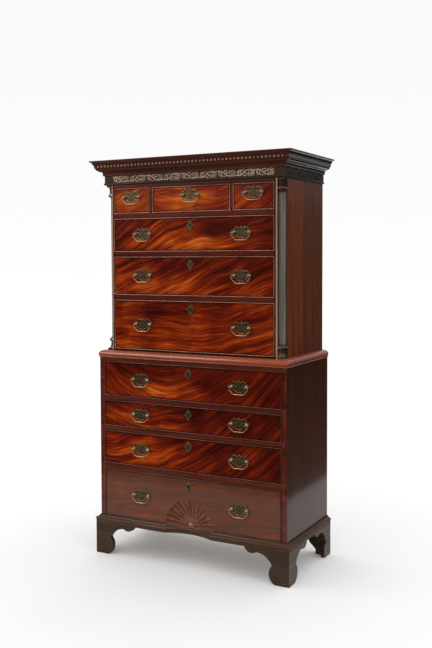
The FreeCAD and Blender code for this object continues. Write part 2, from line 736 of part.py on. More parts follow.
def carve_fan(body):
    """The sunburst: a block behind the front gives the depth for a niche with thirteen flutes."""
    block_half = "fan_half + fan_margin"
    outline = [
        (f"-({block_half})", "0"),
        (block_half, "0"),
        (block_half, "fan_half * 0.6"),
        ("fan_half * 0.7", "fan_half + fan_margin"),
        ("-fan_half * 0.7", "fan_half + fan_margin"),
        (f"-({block_half})", "fan_half * 0.6"),
    ]
    sketch = draw(new_sketch(body, "fan_block_face", "XZ_Plane", "-front_thick"), outline)
    pad(body, "fan_block_pad", sketch, "fan_block", True)
    document.recompute()
    stations = [flute_station(out, sink) for out, sink in FAN_STATIONS]
    rings = []
    for count, (out, depth, _) in enumerate((stations[0], stations[1], stations[3])):
        corners = [(f"({out}) * cos({turn})", f"({out}) * sin({turn})") for turn in fan_turns()]
        ring_sketch = new_sketch(body, f"fan_ring_{count}", "XZ_Plane", f"-({depth})")
        rings.append(draw(ring_sketch, corners))
    niche = body.newObject("PartDesign::SubtractiveLoft", "fan_niche")
    niche.Profile = rings[0]
    niche.Sections = rings[1:]
    niche.Ruled = True
    document.recompute()
    hub_sketch = new_sketch(body, "fan_hub_face", "XZ_Plane", "-(fan_sink - fan_hub_proud)")
    draw(hub_sketch, [("fan_hub", "0"), ("-fan_hub", "0")], {0: "fan_hub + 0.001"})
    pad(body, "fan_hub", hub_sketch, "fan_hub_proud", True)
    document.recompute()
    centres = []
    for out, depth, sink in stations[:3]:
        centres.append(Vector(0, number(f"{depth} + {sink} - fan_gouge"), number(out)))
    runs = [end - start for start, end in zip(centres, centres[1:])]
    overlap = number("fan_gouge") * math.tan(runs[0].getAngle(runs[1]) / 2)
    gouges = []
    for count, (start, run) in enumerate(zip(centres, runs)):
        along = run / run.Length
        gouge = body.newObject("PartDesign::SubtractiveCylinder", f"fan_gouge_{count}")
        gouge.setExpression("Radius", bound("fan_gouge"))
        gouge.Height = run.Length + overlap
        gouge.Placement = FreeCAD.Placement(start - along * overlap * count, Rotation(Vector(0, 0, 1), run))
        gouges.append(gouge)
    document.recompute()
    each_side = int(number("(fan_flutes - 1) / 2"))
    for name, backwards in (("fan_flutes_right", False), ("fan_flutes_left", True)):
        fan = body.newObject("PartDesign::PolarPattern", name)
        fan.Originals = gouges
        fan.Axis = (hub_sketch, ["N_Axis"])
        fan.setExpression("Angle", bound(f"180 / fan_flutes * {each_side}"))
        fan.Occurrences = each_side + 1
        fan.Reversed = backwards
        body.Tip = fan
        document.recompute()
    return body


# Where the gouge's path bends: how far out from the hub's centre, and how deep the flute is there.
FAN_STATIONS = [
    ("fan_hub + 2", "0.2"),
    ("(fan_half + fan_hub) / 2", "1.4"),
    ("fan_half - fan_rim", "4.4"),
    ("fan_half", "0"),
]


def flute_station(out, sink):
    """Adds the depth of the niche at that distance: it follows a round arc from hub to rim."""
    return out, f"sqrt({NICHE_RADIUS}^2 - ({out})^2) - {NICHE_RADIUS} + fan_sink", sink


def fan_turns():
    """The directions of the ridges between the flutes, all the way round."""
    ridges = int(number("2 * fan_flutes"))
    return [f"180 deg / fan_flutes * {count}" for count in range(ridges)]


def cockbead(name, centre, half, face, floor, tall):
    """A thin bead round the edge of the front that stands proud of it."""
    body = place(new_body(name), centre, face, floor)
    sketch = new_sketch(body, name + "_face", "XZ_Plane")
    inner = f"({half} - bead_wide)"
    draw(sketch, [(f"-({half})", "0"), (half, "0"), (half, tall), (f"-({half})", tall)])
    inner_top = f"{tall} - bead_wide"
    low_corners = [(f"-{inner}", "bead_wide"), (inner, "bead_wide")]
    draw(sketch, low_corners + [(inner, inner_top), (f"-{inner}", inner_top)])
    pad(body, name + "_pad", sketch, "bead_proud")
    return body


def drawer(name, centre, half, face, handles, lift="0", key=None):
    """One drawer: front with its bead, dovetailed box, brasses and bails. Returns its sub-parts."""
    key = key or name
    rear = f"{INNER_BACK} - rear_space"
    floor, tall = f"{key}_floor", f"{key}_tall"
    right, left = f"{centre} + {half}", f"{centre} - {half}"
    boards = [
        drawer_side(name + "_right_side", f"{right} - drawer_side", right, face, floor, tall, rear),
        drawer_side(name + "_left_side", left, f"{left} + drawer_side", face, floor, tall, rear),
    ]
    groove_reach = "drawer_side - bottom_groove"
    across = (f"{left} + {groove_reach}", f"{right} - {groove_reach}")
    bottom_level = (f"{floor} + bottom_lift", f"{floor} + bottom_lift + bottom_thick")
    bottom = board(name + "_bottom", across, (f"{face} + front_thick - bottom_groove", rear), bottom_level)
    back_level = (f"{floor} + bottom_lift + bottom_thick", f"{floor} + {tall} - back_drop")
    inside = (f"{left} + drawer_side", f"{right} - drawer_side")
    back = board(name + "_back", inside, (f"{rear} - drawer_back", rear), back_level)
    front = front_board(name + "_board", centre, half, face, floor, tall)
    if name == FAN_DRAWER:
        carve_fan(front)
        block = board(
            "fan_block_space",
            ("-fan_half - fan_margin", "fan_half + fan_margin"),
            (f"{face} + front_thick - bottom_groove - 1", f"{face} + front_thick + fan_block"),
            (floor, f"{floor} + fan_half"),
        )
        bottom = cut(name + "_bottom_notched", bottom, block)
    grooved = [cut(side.Name + "_grooved", side, bottom) for side in boards]
    brasses, shanks, bails = [], [], []
    for label, offset in handles.items():
        x = f"{centre} + ({offset})"
        z = f"{floor} + ({tall}) / 2 + {lift}"
        heads, pair = handle_posts(f"{name}{label}", x, face, z)
        shanks += pair
        brasses += heads + pair
        brasses.append(back_plate(f"{name}{label}", x, face, z, pair))
        bails.append(bail(f"{name}_bail{label}", x, face, z))
    let_in = grooved + [bottom] + shanks
    if not name.startswith("short"):
        lock, lock_room = lock_set(name, centre, face, f"{floor} + {tall}")
        brasses += lock
        let_in += lock_room
    front = cut(name + "_cut", front, group(name + "_let_in", let_in))
    bead = cockbead(name + "_bead", centre, half, face, floor, tall)
    return [
        group(name + "_front", [front, bead]),
        group(name + "_box", grooved + [bottom, back]),
        group(name + "_brasses", brasses),
    ] + bails


# %% brasses


def back_plate(name, x, face, z, shanks):
    """A pierced plate with a crest, pointed ends and a scrolled lower edge, cut for the posts."""
    body = place(new_body(name + "_plate"), x, face, z)
    half = [
        ("0", "27"),
        ("11", "19"),
        ("27", "24"),
        ("50", "9"),
        ("44", "-8"),
        ("30", "-12"),
        ("17", "-22"),
        ("0", "-27"),
    ]
    outline = [(f"-{across}", along) for across, along in half[1:-1]]
    outline = half[::-1] + outline
    sketch = new_sketch(body, name + "_plate_face", "XZ_Plane")
    draw(sketch, outline)
    for side in ("", "-"):
        piercing = [("9", "-14"), ("24", "-8"), ("11", "-2")]
        draw(sketch, [(f"{side}{across}", along) for across, along in piercing])
    pad(body, name + "_plate_pad", sketch, "plate_thick")
    return cut(name + "_plate_cut", body, group(name + "_shank_pair", shanks))


def handle_posts(name, x, face, z):
    """Two posts: each has a head drilled for the bail and a square shank through plate and front."""
    heads, shanks = [], []
    hole_half = "(bail_wire + 0.4)"
    for label, side in (("_left_post", "-1"), ("_right_post", "1")):
        post_x, post_z = f"{x} + {side} * post_reach", f"{z} + post_lift"

        def square(part, half, low, high):
            wide = (f"{post_x} - {half}", f"{post_x} + {half}")
            tall = (f"{post_z} - {half}", f"{post_z} + {half}")
            return board(name + label + part, wide, (low, high), tall)

        head_front = f"{face} - post_stand - head_size / 2"
        head = square("_head", "head_size / 2", head_front, f"{face} - plate_thick")
        hole = board(
            name + label + "_hole",
            (f"{post_x} - head_size", f"{post_x} + head_size"),
            (f"{face} - post_stand - {hole_half}", f"{face} - post_stand + {hole_half}"),
            (f"{post_z} - {hole_half}", f"{post_z} + {hole_half}"),
        )
        heads.append(cut(name + label, head, hole))
        shanks.append(square("_shank", "post_shank / 2", f"{face} - plate_thick", f"{face} + front_thick"))
    return heads, shanks


def bail(name, x, face, z):
    """A swan-neck bail: a six-sided wire whose ends turn in through the post heads."""
    body = place(new_body(name), x, f"{face} - post_stand", f"{z} + post_lift")
    half = [
        ("post_reach - head_size / 2 - 1", "0"),
        ("bail_half", "0"),
        ("bail_half", "-10"),
        ("bail_half * 0.7", "-bail_drop * 0.8"),
        ("bail_half * 0.4", "-bail_drop"),
    ]
    path = [(f"-({across})", along) for across, along in half] + half[::-1]
    spine = draw(new_sketch(body, name + "_path", "XZ_Plane"), path, closed=False)
    start = f"-({half[0][0]})"
    turns = [60 * corner for corner in range(6)]
    section = [(f"bail_wire * cos({turn} deg)", f"bail_wire * sin({turn} deg)") for turn in turns]
    profile = draw(new_sketch(body, name + "_wire", "YZ_Plane", start), section)
    sweep = body.newObject("PartDesign::AdditivePipe", name + "_sweep")
    sweep.Profile = profile
    sweep.Spine = spine
    sweep.Transition = "Right corner"
    body.Label = name
    return body


def lock_set(name, centre, face, top):
    """A lock let into the back of the front, its bolt drawn back, and a keyhole plate in front.

    Returns its pieces, and the room that the front gives them.
    """
    key_z = f"{top} - scutcheon_below"
    lock_back = f"{face} + front_thick"
    lock_front = f"{lock_back} - lock_thick"
    wide = (f"{centre} - lock_wide / 2", f"{centre} + lock_wide / 2")
    lock_depth = (lock_front, lock_back)
    case = board(name + "_lock_case", wide, lock_depth, (f"{top} - lock_tall", f"{top} - bolt_tall"))
    bolt_x = (f"{centre} - bolt_tall", f"{centre} + bolt_tall")
    bolt = board(name + "_bolt", bolt_x, (lock_front, lock_back), (f"{top} - bolt_tall", f"{top} - 1"))
    bolt_way = board(name + "_bolt_way", bolt_x, lock_depth, (f"{top} - bolt_tall", f"{top} + 1"))
    keyhole = board(
        name + "_keyhole",
        (f"{centre} - keyhole_half", f"{centre} + keyhole_half"),
        (f"{face} - plate_thick - 1", f"{lock_front} + 4"),
        (f"{key_z} - 7", f"{key_z} + 5"),
    )
    body = place(new_body(name + "_scutcheon"), centre, face, key_z)
    half = [("0", "24"), ("9", "15"), ("12", "17"), ("19", "4"), ("14", "-6"), ("8", "-18"), ("0", "-24")]
    outline = half[::-1] + [(f"-{across}", along) for across, along in half[1:-1]]
    sketch = draw(new_sketch(body, name + "_scutcheon_face", "XZ_Plane"), outline)
    pad(body, name + "_scutcheon_pad", sketch, "plate_thick")
    drilled = cut(name + "_lock", case, keyhole)
    plate = cut(name + "_scutcheon_cut", body, keyhole)
    return [drilled, bolt, plate], [case, bolt_way, keyhole]


FAN_DRAWER = "lower_drawer_4"
LONG_HANDLES = {"_left": "-handle_reach", "_right": "handle_reach"}
LOWER_HALF = f"({LOWER_OPEN} - drawer_gap)"
UPPER_LONG_HALF = f"({UPPER_OPEN} - drawer_gap)"


def all_drawers():
    parts = []
    for name in LOWER_DRAWERS:
        parts += drawer(name, "0", LOWER_HALF, FRONT, LONG_HANDLES)
    for name in UPPER_DRAWERS[1:]:
        parts += drawer(name, "0", UPPER_LONG_HALF, UPPER_FRONT, LONG_HANDLES)
    short = {"left": (f"-{SHORT_X}", SHORT_HALF), "middle": ("0", "middle_half")}
    short["right"] = (SHORT_X, SHORT_HALF)
    for label, (centre, half) in short.items():
        name = f"short_drawer_{label}"
        parts += drawer(name, centre, half, UPPER_FRONT, {"": "0"}, "short_handle_lift", "short_drawer")
    return parts


document.recompute()
lower_rails = lower_inside()
upper_rails = upper_inside()
PARTS = [
    lower_rails,
    upper_rails,
    lower_case(lower_rails),
    upper_case(upper_rails),
    backboards("lower_backboards", LOWER_OPEN, ("case_floor - board_thick", "case_joint"), 4),
    backboards("upper_backboards", f"{UPPER_HALF} - side_thick", ("case_joint", "case_top"), 4),
    base_moulding(),
    waist_moulding(),
    frieze(),
    cornice(),
    dentils(),
    quarter_columns(),
    feet(),
] + all_drawers()

document.recompute()
for item in document.Objects:
    if "Invalid" in item.State or "Error" in item.State:
        raise RuntimeError(f"{item.Name} did not build: {item.State}")
os.makedirs("parts", exist_ok=True)
for part in PARTS:
    if part.Shape.isNull() or not part.Shape.isValid():
        raise RuntimeError(f"{part.Name} has no valid shape")
    part.Shape.exportStep(f"parts/{part.Label}.step")
    print(part.Label, len(part.Shape.Solids), "solids", round(part.Shape.Volume / 1e6, 3), "litres")
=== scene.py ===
# %% [markdown]
# # A chest on chest
# This lesson gives a mahogany chest on chest its looks. The construction arrives as a fixed frame: every
# board, drawer and brass is a node that already has its true size and place. What is left to do is what a
# polisher, a carver and a brass founder did: smooth mouldings, figured veneer, carving and old metal.

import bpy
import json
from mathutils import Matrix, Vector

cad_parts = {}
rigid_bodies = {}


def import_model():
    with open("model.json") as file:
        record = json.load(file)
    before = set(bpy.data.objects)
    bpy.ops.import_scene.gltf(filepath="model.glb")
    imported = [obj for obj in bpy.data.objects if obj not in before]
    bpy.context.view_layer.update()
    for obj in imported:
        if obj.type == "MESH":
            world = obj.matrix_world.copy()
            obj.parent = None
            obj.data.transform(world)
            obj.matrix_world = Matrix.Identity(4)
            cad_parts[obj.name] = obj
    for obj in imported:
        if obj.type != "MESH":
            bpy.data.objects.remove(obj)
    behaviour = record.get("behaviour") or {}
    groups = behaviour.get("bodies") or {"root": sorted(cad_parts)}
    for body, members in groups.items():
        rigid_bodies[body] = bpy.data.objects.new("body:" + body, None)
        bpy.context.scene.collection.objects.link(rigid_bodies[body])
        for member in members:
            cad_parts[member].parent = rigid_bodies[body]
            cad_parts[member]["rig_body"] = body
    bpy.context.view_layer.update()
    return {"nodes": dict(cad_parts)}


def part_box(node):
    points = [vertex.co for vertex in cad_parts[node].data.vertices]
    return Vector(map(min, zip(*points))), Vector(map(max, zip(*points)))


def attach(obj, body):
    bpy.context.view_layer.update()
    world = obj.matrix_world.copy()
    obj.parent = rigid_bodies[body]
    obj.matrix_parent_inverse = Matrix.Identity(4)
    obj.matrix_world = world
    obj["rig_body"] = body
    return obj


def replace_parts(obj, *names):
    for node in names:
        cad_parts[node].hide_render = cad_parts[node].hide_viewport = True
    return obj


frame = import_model()

# %% Tools of the trade
import json
import math

import bmesh
import bpy
from bmesh.types import BMEdge, BMVert
from mathutils import Matrix, Vector

MM = 0.001
TURN = 2 * math.pi

# %% [markdown]
# ## Places
# The faces of the two cases, the levels of the mouldings and the middle of each drawer are read from the
# frame's own boxes, so a new pack of the frame carries the looks with it.

# %% Faces and levels of the two cases
lower_low, lower_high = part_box("lower_carcase")
upper_low, upper_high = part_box("upper_carcase")
FRONT, BACK, UPPER_FRONT = lower_low.y, lower_high.y, upper_low.y
LOWER_HALF, UPPER_HALF = lower_high.x, upper_high.x
CASE_STEP = LOWER_HALF - UPPER_HALF
CASE_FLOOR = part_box("lower_drawer_4_front")[0].z
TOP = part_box("cornice")[1].z
FOOT_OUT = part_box("bracket_feet")[1].x
waist_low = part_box("waist_moulding")[0].z
frieze_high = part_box("frieze")[1].z
apron_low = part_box("base_moulding")[0].z
column_low, column_high = (corner.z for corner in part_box("quarter_columns"))
print(f"lower case {2 * LOWER_HALF:.3f} wide, upper case {2 * UPPER_HALF:.3f}, {TOP:.3f} tall")

# %% The drawers
DRAWERS = sorted(name[: -len("_front")] for name in frame["nodes"] if name.endswith("_front"))
print("drawers:", ", ".join(DRAWERS))

# %% [markdown]
# ## Working helpers
# A mesh is easiest to make with the bmesh operators and then handed over once. Each finished piece is
# linked, shaded smooth with its creases kept and told which body it rides on.


# %% Small tools for meshes
def as_mesh(bm, name):
    mesh = bpy.data.meshes.new(name)
    bm.to_mesh(mesh)
    bm.free()
    return mesh


def new_object(name, data):
    made = bpy.data.objects.new(name, data)
    bpy.context.scene.collection.objects.link(made)
    return made


def only(kind, geometry):
    """The verts or the edges among what an operator gives back."""
    return [item for item in geometry if isinstance(item, kind)]


def paint_faces(bm, choose):
    """Gives each face the material number that choose makes of its middle and its normal."""
    for face in bm.faces:
        face.material_index = choose(face.calc_center_median(), face.normal)


def cut(bm, place, facing, clear_outer=False):
    """Cuts the mesh at a plane and gives back the cut's edges; what lies past it can be cleared away."""
    everything = bm.verts[:] + bm.edges[:] + bm.faces[:]
    made = bmesh.ops.bisect_plane(
        bm, geom=everything, plane_co=place, plane_no=facing, clear_outer=clear_outer
    )
    return only(BMEdge, made["geom_cut"])


# %% Hand over a finished mesh
def finish_piece(bm, name, body, materials, crease=30, rounding=0.0):
    """Makes the object; rounding, where given, is the width of a small bevel on every crease."""
    mesh = as_mesh(bm, name)
    for material in materials:
        mesh.materials.append(material)
    mesh.shade_smooth()
    mesh.set_sharp_from_angle(angle=math.radians(crease))
    piece = new_object(name, mesh)
    if rounding:
        rounded = piece.modifiers.new("rounded_edges", "BEVEL")
        rounded.width = rounding
        rounded.segments = 2
        rounded.limit_method = "ANGLE"
        rounded.angle_limit = math.radians(35)
    weighted = piece.modifiers.new("flat_faces_stay_flat", "WEIGHTED_NORMAL")
    weighted.keep_sharp = True
    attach(piece, body)
    return piece


# %% [markdown]
# No board has a knife-sharp edge. A copy of a node's triangles is merged, its flat faces are joined again
# and every crease gets a narrow round. Light then runs along the edges, which is most of what makes wood
# look solid.


# %% Soften a copy of a node
def merged_copy(node):
    bm = bmesh.new()
    bm.from_mesh(frame["nodes"][node].data)
    bmesh.ops.remove_doubles(bm, verts=bm.verts, dist=0.01 * MM)
    return bm


def creases(bm, angle):
    """The edges where two faces meet at more than an angle in degrees."""
    limit = math.radians(angle)
    return [edge for edge in bm.edges if len(edge.link_faces) == 2 and edge.calc_face_angle(0) > limit]


def round_edges(bm, edges, width, segments=2):
    bmesh.ops.bevel(
        bm, geom=edges, offset=width, offset_type="OFFSET", segments=segments, profile=0.5,
        affect="EDGES", material=-1, clamp_overlap=True
    )


def join_flat_faces(bm):
    bmesh.ops.dissolve_limit(bm, angle_limit=math.radians(1), verts=bm.verts, edges=bm.edges)


def soften(bm, width):
    """Joins the flat faces of a merged mesh and rounds its creases."""
    join_flat_faces(bm)
    round_edges(bm, creases(bm, 25), width)
    return bm


def softened(node, width, materials, choose=None):
    """A softened copy that stands for the node.

    Where three slanted edges meet, a round can reach past the board, so points stay in the node's box.
    """
    bm = soften(merged_copy(node), width)
    low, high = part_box(node)
    for vert in bm.verts:
        vert.co = [min(max(part, least), most) for part, least, most in zip(vert.co, low, high)]
    if choose:
        paint_faces(bm, choose)
    piece = finish_piece(bm, node + "_finish", frame["nodes"][node]["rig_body"], materials)
    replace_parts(piece, node)
    print(node, "has", len(piece.data.polygons), "faces")


# %% [markdown]
# ## Shader building blocks
# Three effects are shared by many finishes, so each is a node group with named sockets: straight grain,
# flame figure, and grime with painted shade. A short helper adds a node, sets its values and links what
# is given as a socket.


# %% Add a node with its values
def set_inputs(tree, node, values):
    """Sets each input of a node, or links it where the value is another node's socket."""
    for key, value in values.items():
        if isinstance(value, bpy.types.NodeSocket):
            tree.links.new(value, node.inputs[key])
        else:
            node.inputs[key].default_value = value


def add(tree, kind, values=None, **settings):
    made = tree.nodes.new("ShaderNode" + kind)
    for key, value in settings.items():
        setattr(made, key, value)
    set_inputs(tree, made, values or {})
    return made


# %% Sums, mixes and noise
def maths(tree, operation, first, second=0.0):
    return add(tree, "Math", {0: first, 1: second}, operation=operation).outputs[0]


def plus(tree, first, second):
    return maths(tree, "ADD", first, second)


def minus(tree, first, second):
    return maths(tree, "SUBTRACT", first, second)


def times(tree, first, second):
    return maths(tree, "MULTIPLY", first, second)


def vectors(tree, operation, first, second=(0, 0, 0)):
    return add(tree, "VectorMath", {0: first, 1: second}, operation=operation).outputs


def axes(tree, vector):
    return add(tree, "SeparateXYZ", {0: vector}).outputs


def mixed(tree, factor, first, second):
    return add(tree, "Mix", {"Factor": factor, 6: first, 7: second}, data_type="RGBA").outputs[2]


def ramp(tree, factor, stops):
    made = add(tree, "ValToRGB", {"Fac": factor})
    elements = made.color_ramp.elements
    while len(elements) < len(stops):
        elements.new(0.5)
    for element, (place, shade) in zip(elements, stops):
        element.position = place
        element.color = shade
    return made.outputs["Color"]


def spread(tree, value, low, high, out_low=0.0, out_high=1.0):
    values = {"Value": value, "From Min": low, "From Max": high, "To Min": out_low, "To Max": out_high}
    return add(tree, "MapRange", values).outputs["Result"]


def noise(tree, vector, scale, detail=3.0, roughness=0.5, distortion=0.0):
    values = {
        "Vector": vector, "Scale": scale, "Detail": detail, "Roughness": roughness,
        "Distortion": distortion,
    }
    return add(tree, "TexNoise", values).outputs["Fac"]


# %% Groups and screen colours
def new_group(name, inputs, outputs):
    """A shader group: inputs are name, kind and usual value, outputs are the names of numbers."""
    group = bpy.data.node_groups.new(name, "ShaderNodeTree")
    for label, kind, value in inputs:
        socket = group.interface.new_socket(name=label, in_out="INPUT", socket_type="NodeSocket" + kind)
        if value is not None:
            socket.default_value = value
    for label in outputs:
        group.interface.new_socket(name=label, in_out="OUTPUT", socket_type="NodeSocketFloat")
    return group, group.nodes.new("NodeGroupInput").outputs, group.nodes.new("NodeGroupOutput")


def place_group(tree, group, values):
    return add(tree, "Group", values, node_tree=group).outputs


def linear(part):
    return part / 255 / 12.92 if part < 11 else ((part / 255 + 0.055) / 1.055) ** 2.4


def colour(red, green, blue):
    """A screen colour from 0 to 255 as the linear colour that shaders use."""
    return linear(red), linear(green), linear(blue), 1.0


# %% [markdown]
# ### Straight grain
# Sawn wood is a bundle of fibres: noise that is stretched a long way along the board and squeezed across
# it. The Stretch input says how many times each axis is squeezed, so one group serves boards that run any
# way.

# %% Straight grain group
grain_group, given, result = new_group(
    "straight_grain",
    [("Vector", "Vector", None), ("Stretch", "Vector", (40, 40, 1.5))],
    ["Streak", "Fibre", "Pores", "Cloud"],
)
tree = grain_group
drift = add(tree, "TexNoise", {"Vector": given["Vector"], "Scale": 2.2, "Detail": 2.0}).outputs["Color"]
drift = add(tree, "VectorMath", {0: drift, "Scale": 0.035}, operation="SCALE").outputs[0]
along = vectors(tree, "MULTIPLY", vectors(tree, "ADD", given["Vector"], drift)[0], given["Stretch"])[0]
values = {
    "Streak": noise(tree, along, 1.0, 5.0, 0.62),
    "Fibre": noise(tree, along, 7.0, 3.0, 0.6),
    "Pores": spread(tree, noise(tree, along, 22.0, 1.0), 0.62, 0.74),
    "Cloud": noise(tree, given["Vector"], 2.6, 2.0),
}
set_inputs(tree, result, values)
print("straight grain has", len(tree.nodes), "nodes")

# %% [markdown]
# ### Flame figure
# Mahogany cut where a branch leaves the trunk shows a flame: fibres sweep up and over in long curves,
# gold where they turn towards the eye and nearly black where they dip. The group bends the coordinate
# across the grain with a slope, a bow and a little drift, and then stretches noise along the bent lines.

# %% Flame figure group
flame_group, given, result = new_group(
    "flame_figure",
    [("Vector", "Vector", None), ("Slope", "Float", 0.3), ("Bow", "Float", 0.0), ("Swirl", "Float", 0.06),
     ("Seed", "Float", 0.0)],
    ["Figure", "Fibre", "Pores", "Glow"],
)
tree = flame_group
x, _, z = axes(tree, given["Vector"])
flat = add(tree, "CombineXYZ", {0: x, 1: given["Seed"], 2: z}).outputs[0]
broad = times(tree, minus(tree, noise(tree, flat, 3.4, 1.0), 0.5), given["Swirl"])
small = times(tree, minus(tree, noise(tree, flat, 14.0, 2.0), 0.5), 0.007)
bend = plus(tree, broad, small)
sloped = times(tree, x, given["Slope"])
bowed_up = times(tree, times(tree, x, x), given["Bow"])
across = plus(tree, minus(tree, minus(tree, z, sloped), bowed_up), times(tree, bend, 2.0))


def lines(per_metre_along, per_metre_across, detail, roughness):
    """Noise drawn out along the bent grain lines."""
    wide = times(flame_group, x, per_metre_along)
    narrow = times(flame_group, across, per_metre_across)
    vector = add(flame_group, "CombineXYZ", {0: wide, 1: given["Seed"], 2: narrow}).outputs[0]
    return noise(flame_group, vector, 1.0, detail, roughness)


bands = times(tree, lines(3.2, 42.0, 3.0, 0.6), 0.55)
strands = times(tree, lines(9.0, 130.0, 3.0, 0.6), 0.45)
values = {
    "Figure": plus(tree, bands, strands),
    "Fibre": lines(16.0, 420.0, 2.0, 0.6),
    "Pores": spread(tree, lines(45.0, 900.0, 1.0, 0.5), 0.63, 0.75),
    "Glow": noise(tree, flat, 5.5, 2.0, 0.5, 0.6),
}
set_inputs(tree, result, values)
print("flame figure has", len(tree.nodes), "nodes")

# %% [markdown]
# ### Grime and painted shade
# Two and a half centuries of wax and dust settle where a cloth can't reach, and shade falls in the same
# corners. Ambient occlusion finds those places: it is dark in corners and hollows, so it darkens them
# with painted shade as well as grime.

# %% Grime and painted shade group
grime_and_shade_inputs = [("Vector", "Vector", None), ("Reach", "Float", 0.01)]
grime_and_shade_group, given, result = new_group("grime_and_shade", grime_and_shade_inputs, ["GrimeAndShade"])
tree = grime_and_shade_group
# Dark in corners and hollows: painted shade, and grime where it settles.
hollow = add(tree, "AmbientOcclusion", {"Distance": given["Reach"]}, samples=6).outputs["AO"]
patchy = times(tree, noise(tree, given["Vector"], 60.0, 3.0, 0.6), 0.25)
set_inputs(tree, result, {"GrimeAndShade": spread(tree, plus(tree, minus(tree, 1.0, hollow), patchy), 0.2, 0.85)})
print("grime has", len(tree.nodes), "nodes")

# %% [markdown]
# ## Finishes
# French-polished wood is a coloured fibre under a thin clear coat. Each finish below starts the same way:
# a Principled shader whose colour comes from grain, whose roughness changes with it, and a coat set on
# the shader.


# %% Start a finish
def new_finish(name, coat=0.4, coat_rough=0.1, specular=0.03):
    material = bpy.data.materials.new(name)
    material.use_nodes = True
    tree = material.node_tree
    shader = tree.nodes["Principled BSDF"]
    values = {"Coat Weight": coat, "Coat Roughness": coat_rough, "Specular IOR Level": specular}
    set_inputs(tree, shader, values)
    return material, tree, shader


def own_place(tree, offset=(0, 0, 0)):
    """The piece's own coordinates in metres, moved by an amount so that no two boards match."""
    return vectors(tree, "ADD", add(tree, "TexCoord").outputs["Object"], offset)[0]


def grime_and_shade_near(tree, place, reach):
    """Where grime and painted shade lie, as far from a corner as reach."""
    return place_group(tree, grime_and_shade_group, {"Vector": place, "Reach": reach})["GrimeAndShade"]


def roughen(tree, shader, fibre, low, high, height=0.15):
    """The same fibres that colour the wood also break up its shine and lift its surface a little."""
    rough = spread(tree, fibre, 0.25, 0.75, low, high)
    bump = add(tree, "Bump", {"Height": fibre, "Strength": height, "Distance": 0.4 * MM})
    set_inputs(tree, shader, {"Roughness": rough, "Normal": bump.outputs["Normal"]})


# %% [markdown]
# Plain boards: rails, sides, mouldings and feet share one recipe. The dark and light ends of the grain,
# the way it runs and the polish are each board's own. Old boards also have long stains where the polish
# has gone thin.


# %% Straight-grained finish
ALONG_X, ALONG_Y, ALONG_Z = (1.5, 40, 40), (40, 1.5, 40), (40, 40, 1.5)
FINE, COARSE = (30, 30, 30), (6, 6, 6)


def plain_wood(
    name, dark, light, stretch, polish=(0.32, 0.5), coat=0.3, grime_and_shade=0.6, offset=(0, 0, 0), stain=None
):
    """The ends of the grain and the stain are screen colours, from 0 to 255."""
    material, tree, shader = new_finish(name, coat)
    place = own_place(tree, offset)
    grain = place_group(tree, grain_group, {"Vector": place, "Stretch": stretch})
    dark = colour(*dark)
    pore = tuple(0.3 * part for part in dark[:3]) + (1,)
    blend = plus(tree, times(tree, grain["Streak"], 0.75), times(tree, grain["Fibre"], 0.25))
    wood = ramp(tree, blend, [(0.32, dark), (0.68, colour(*light))])
    wood = mixed(tree, spread(tree, grain["Cloud"], 0.35, 0.7, 0.0, 0.35), wood, dark)
    wood = mixed(tree, times(tree, grain["Pores"], 0.45), wood, pore)
    if stain:
        patches = spread(tree, noise(tree, place, 5.0, 3.0, 0.6), 0.45, 0.7, 0.0, 0.7)
        wood = mixed(tree, patches, wood, colour(*stain))
    # Darker in corners and beside the beads: grime and painted shade.
    if grime_and_shade:
        wood = mixed(tree, times(tree, grime_and_shade_near(tree, place, 12 * MM), grime_and_shade), wood, colour(22, 12, 8))
    set_inputs(tree, shader, {"Base Color": wood})
    roughen(tree, shader, grain["Fibre"], *polish)
    return material


# %% The plain boards
rail_wood = plain_wood("polished_rail", (49, 14, 8), (106, 43, 26), ALONG_X, coat=0.5)
# A pale stile face: a painted highlight, kept only on its outer strip.
stile_painted_highlight = plain_wood("stile_painted_highlight", (128, 96, 80), (186, 152, 132), ALONG_Z, coat=0.3, grime_and_shade=0.3)
upper_side_wood = plain_wood("upper_side", (86, 38, 17), (136, 68, 38), ALONG_Z, (0.4, 0.56), 0.4)
lower_side_wood = plain_wood("lower_side", (40, 17, 8), (80, 40, 20), ALONG_Z, (0.36, 0.52), 0.5)
cornice_wood = plain_wood("cornice_wood", (52, 22, 14), (98, 48, 30), ALONG_X, (0.34, 0.55), 0.25)
waist_wood = plain_wood("waist_wood", (92, 34, 13), (168, 80, 40), ALONG_X, (0.26, 0.42), 0.5)
base_wood = plain_wood(
    "base_wood", (48, 30, 20), (88, 60, 42), ALONG_X, (0.4, 0.6), 0.2, offset=(3, 1, 2)
)
foot_wood = plain_wood(
    "foot_wood", (38, 25, 18), (73, 54, 40), ALONG_X, (0.42, 0.65), 0.15, stain=(64, 54, 45)
)
# Paler side faces for the feet: painted sheen.
foot_side_sheen = plain_wood("foot_side_sheen", (64, 55, 46), (118, 106, 92), ALONG_Y, (0.42, 0.65), 0.15)
# The lower beads are a darker copy of the upper ones: painted shade.
upper_bead = plain_wood("upper_bead", (112, 70, 48), (176, 128, 102), COARSE, (0.3, 0.45), 0.6, grime_and_shade=0.2)
lower_bead = plain_wood("lower_bead", (52, 26, 16), (98, 58, 40), COARSE, (0.3, 0.45), 0.6, grime_and_shade=0.2)
frieze_wood = plain_wood(
    "frieze_wood", (38, 26, 20), (74, 55, 43), ALONG_X, (0.42, 0.62), 0.15, grime_and_shade=0.9
)
carved_wood = plain_wood("carved_wood", (122, 96, 78), (198, 168, 144), FINE, (0.35, 0.5), 0.3, grime_and_shade=0.9)
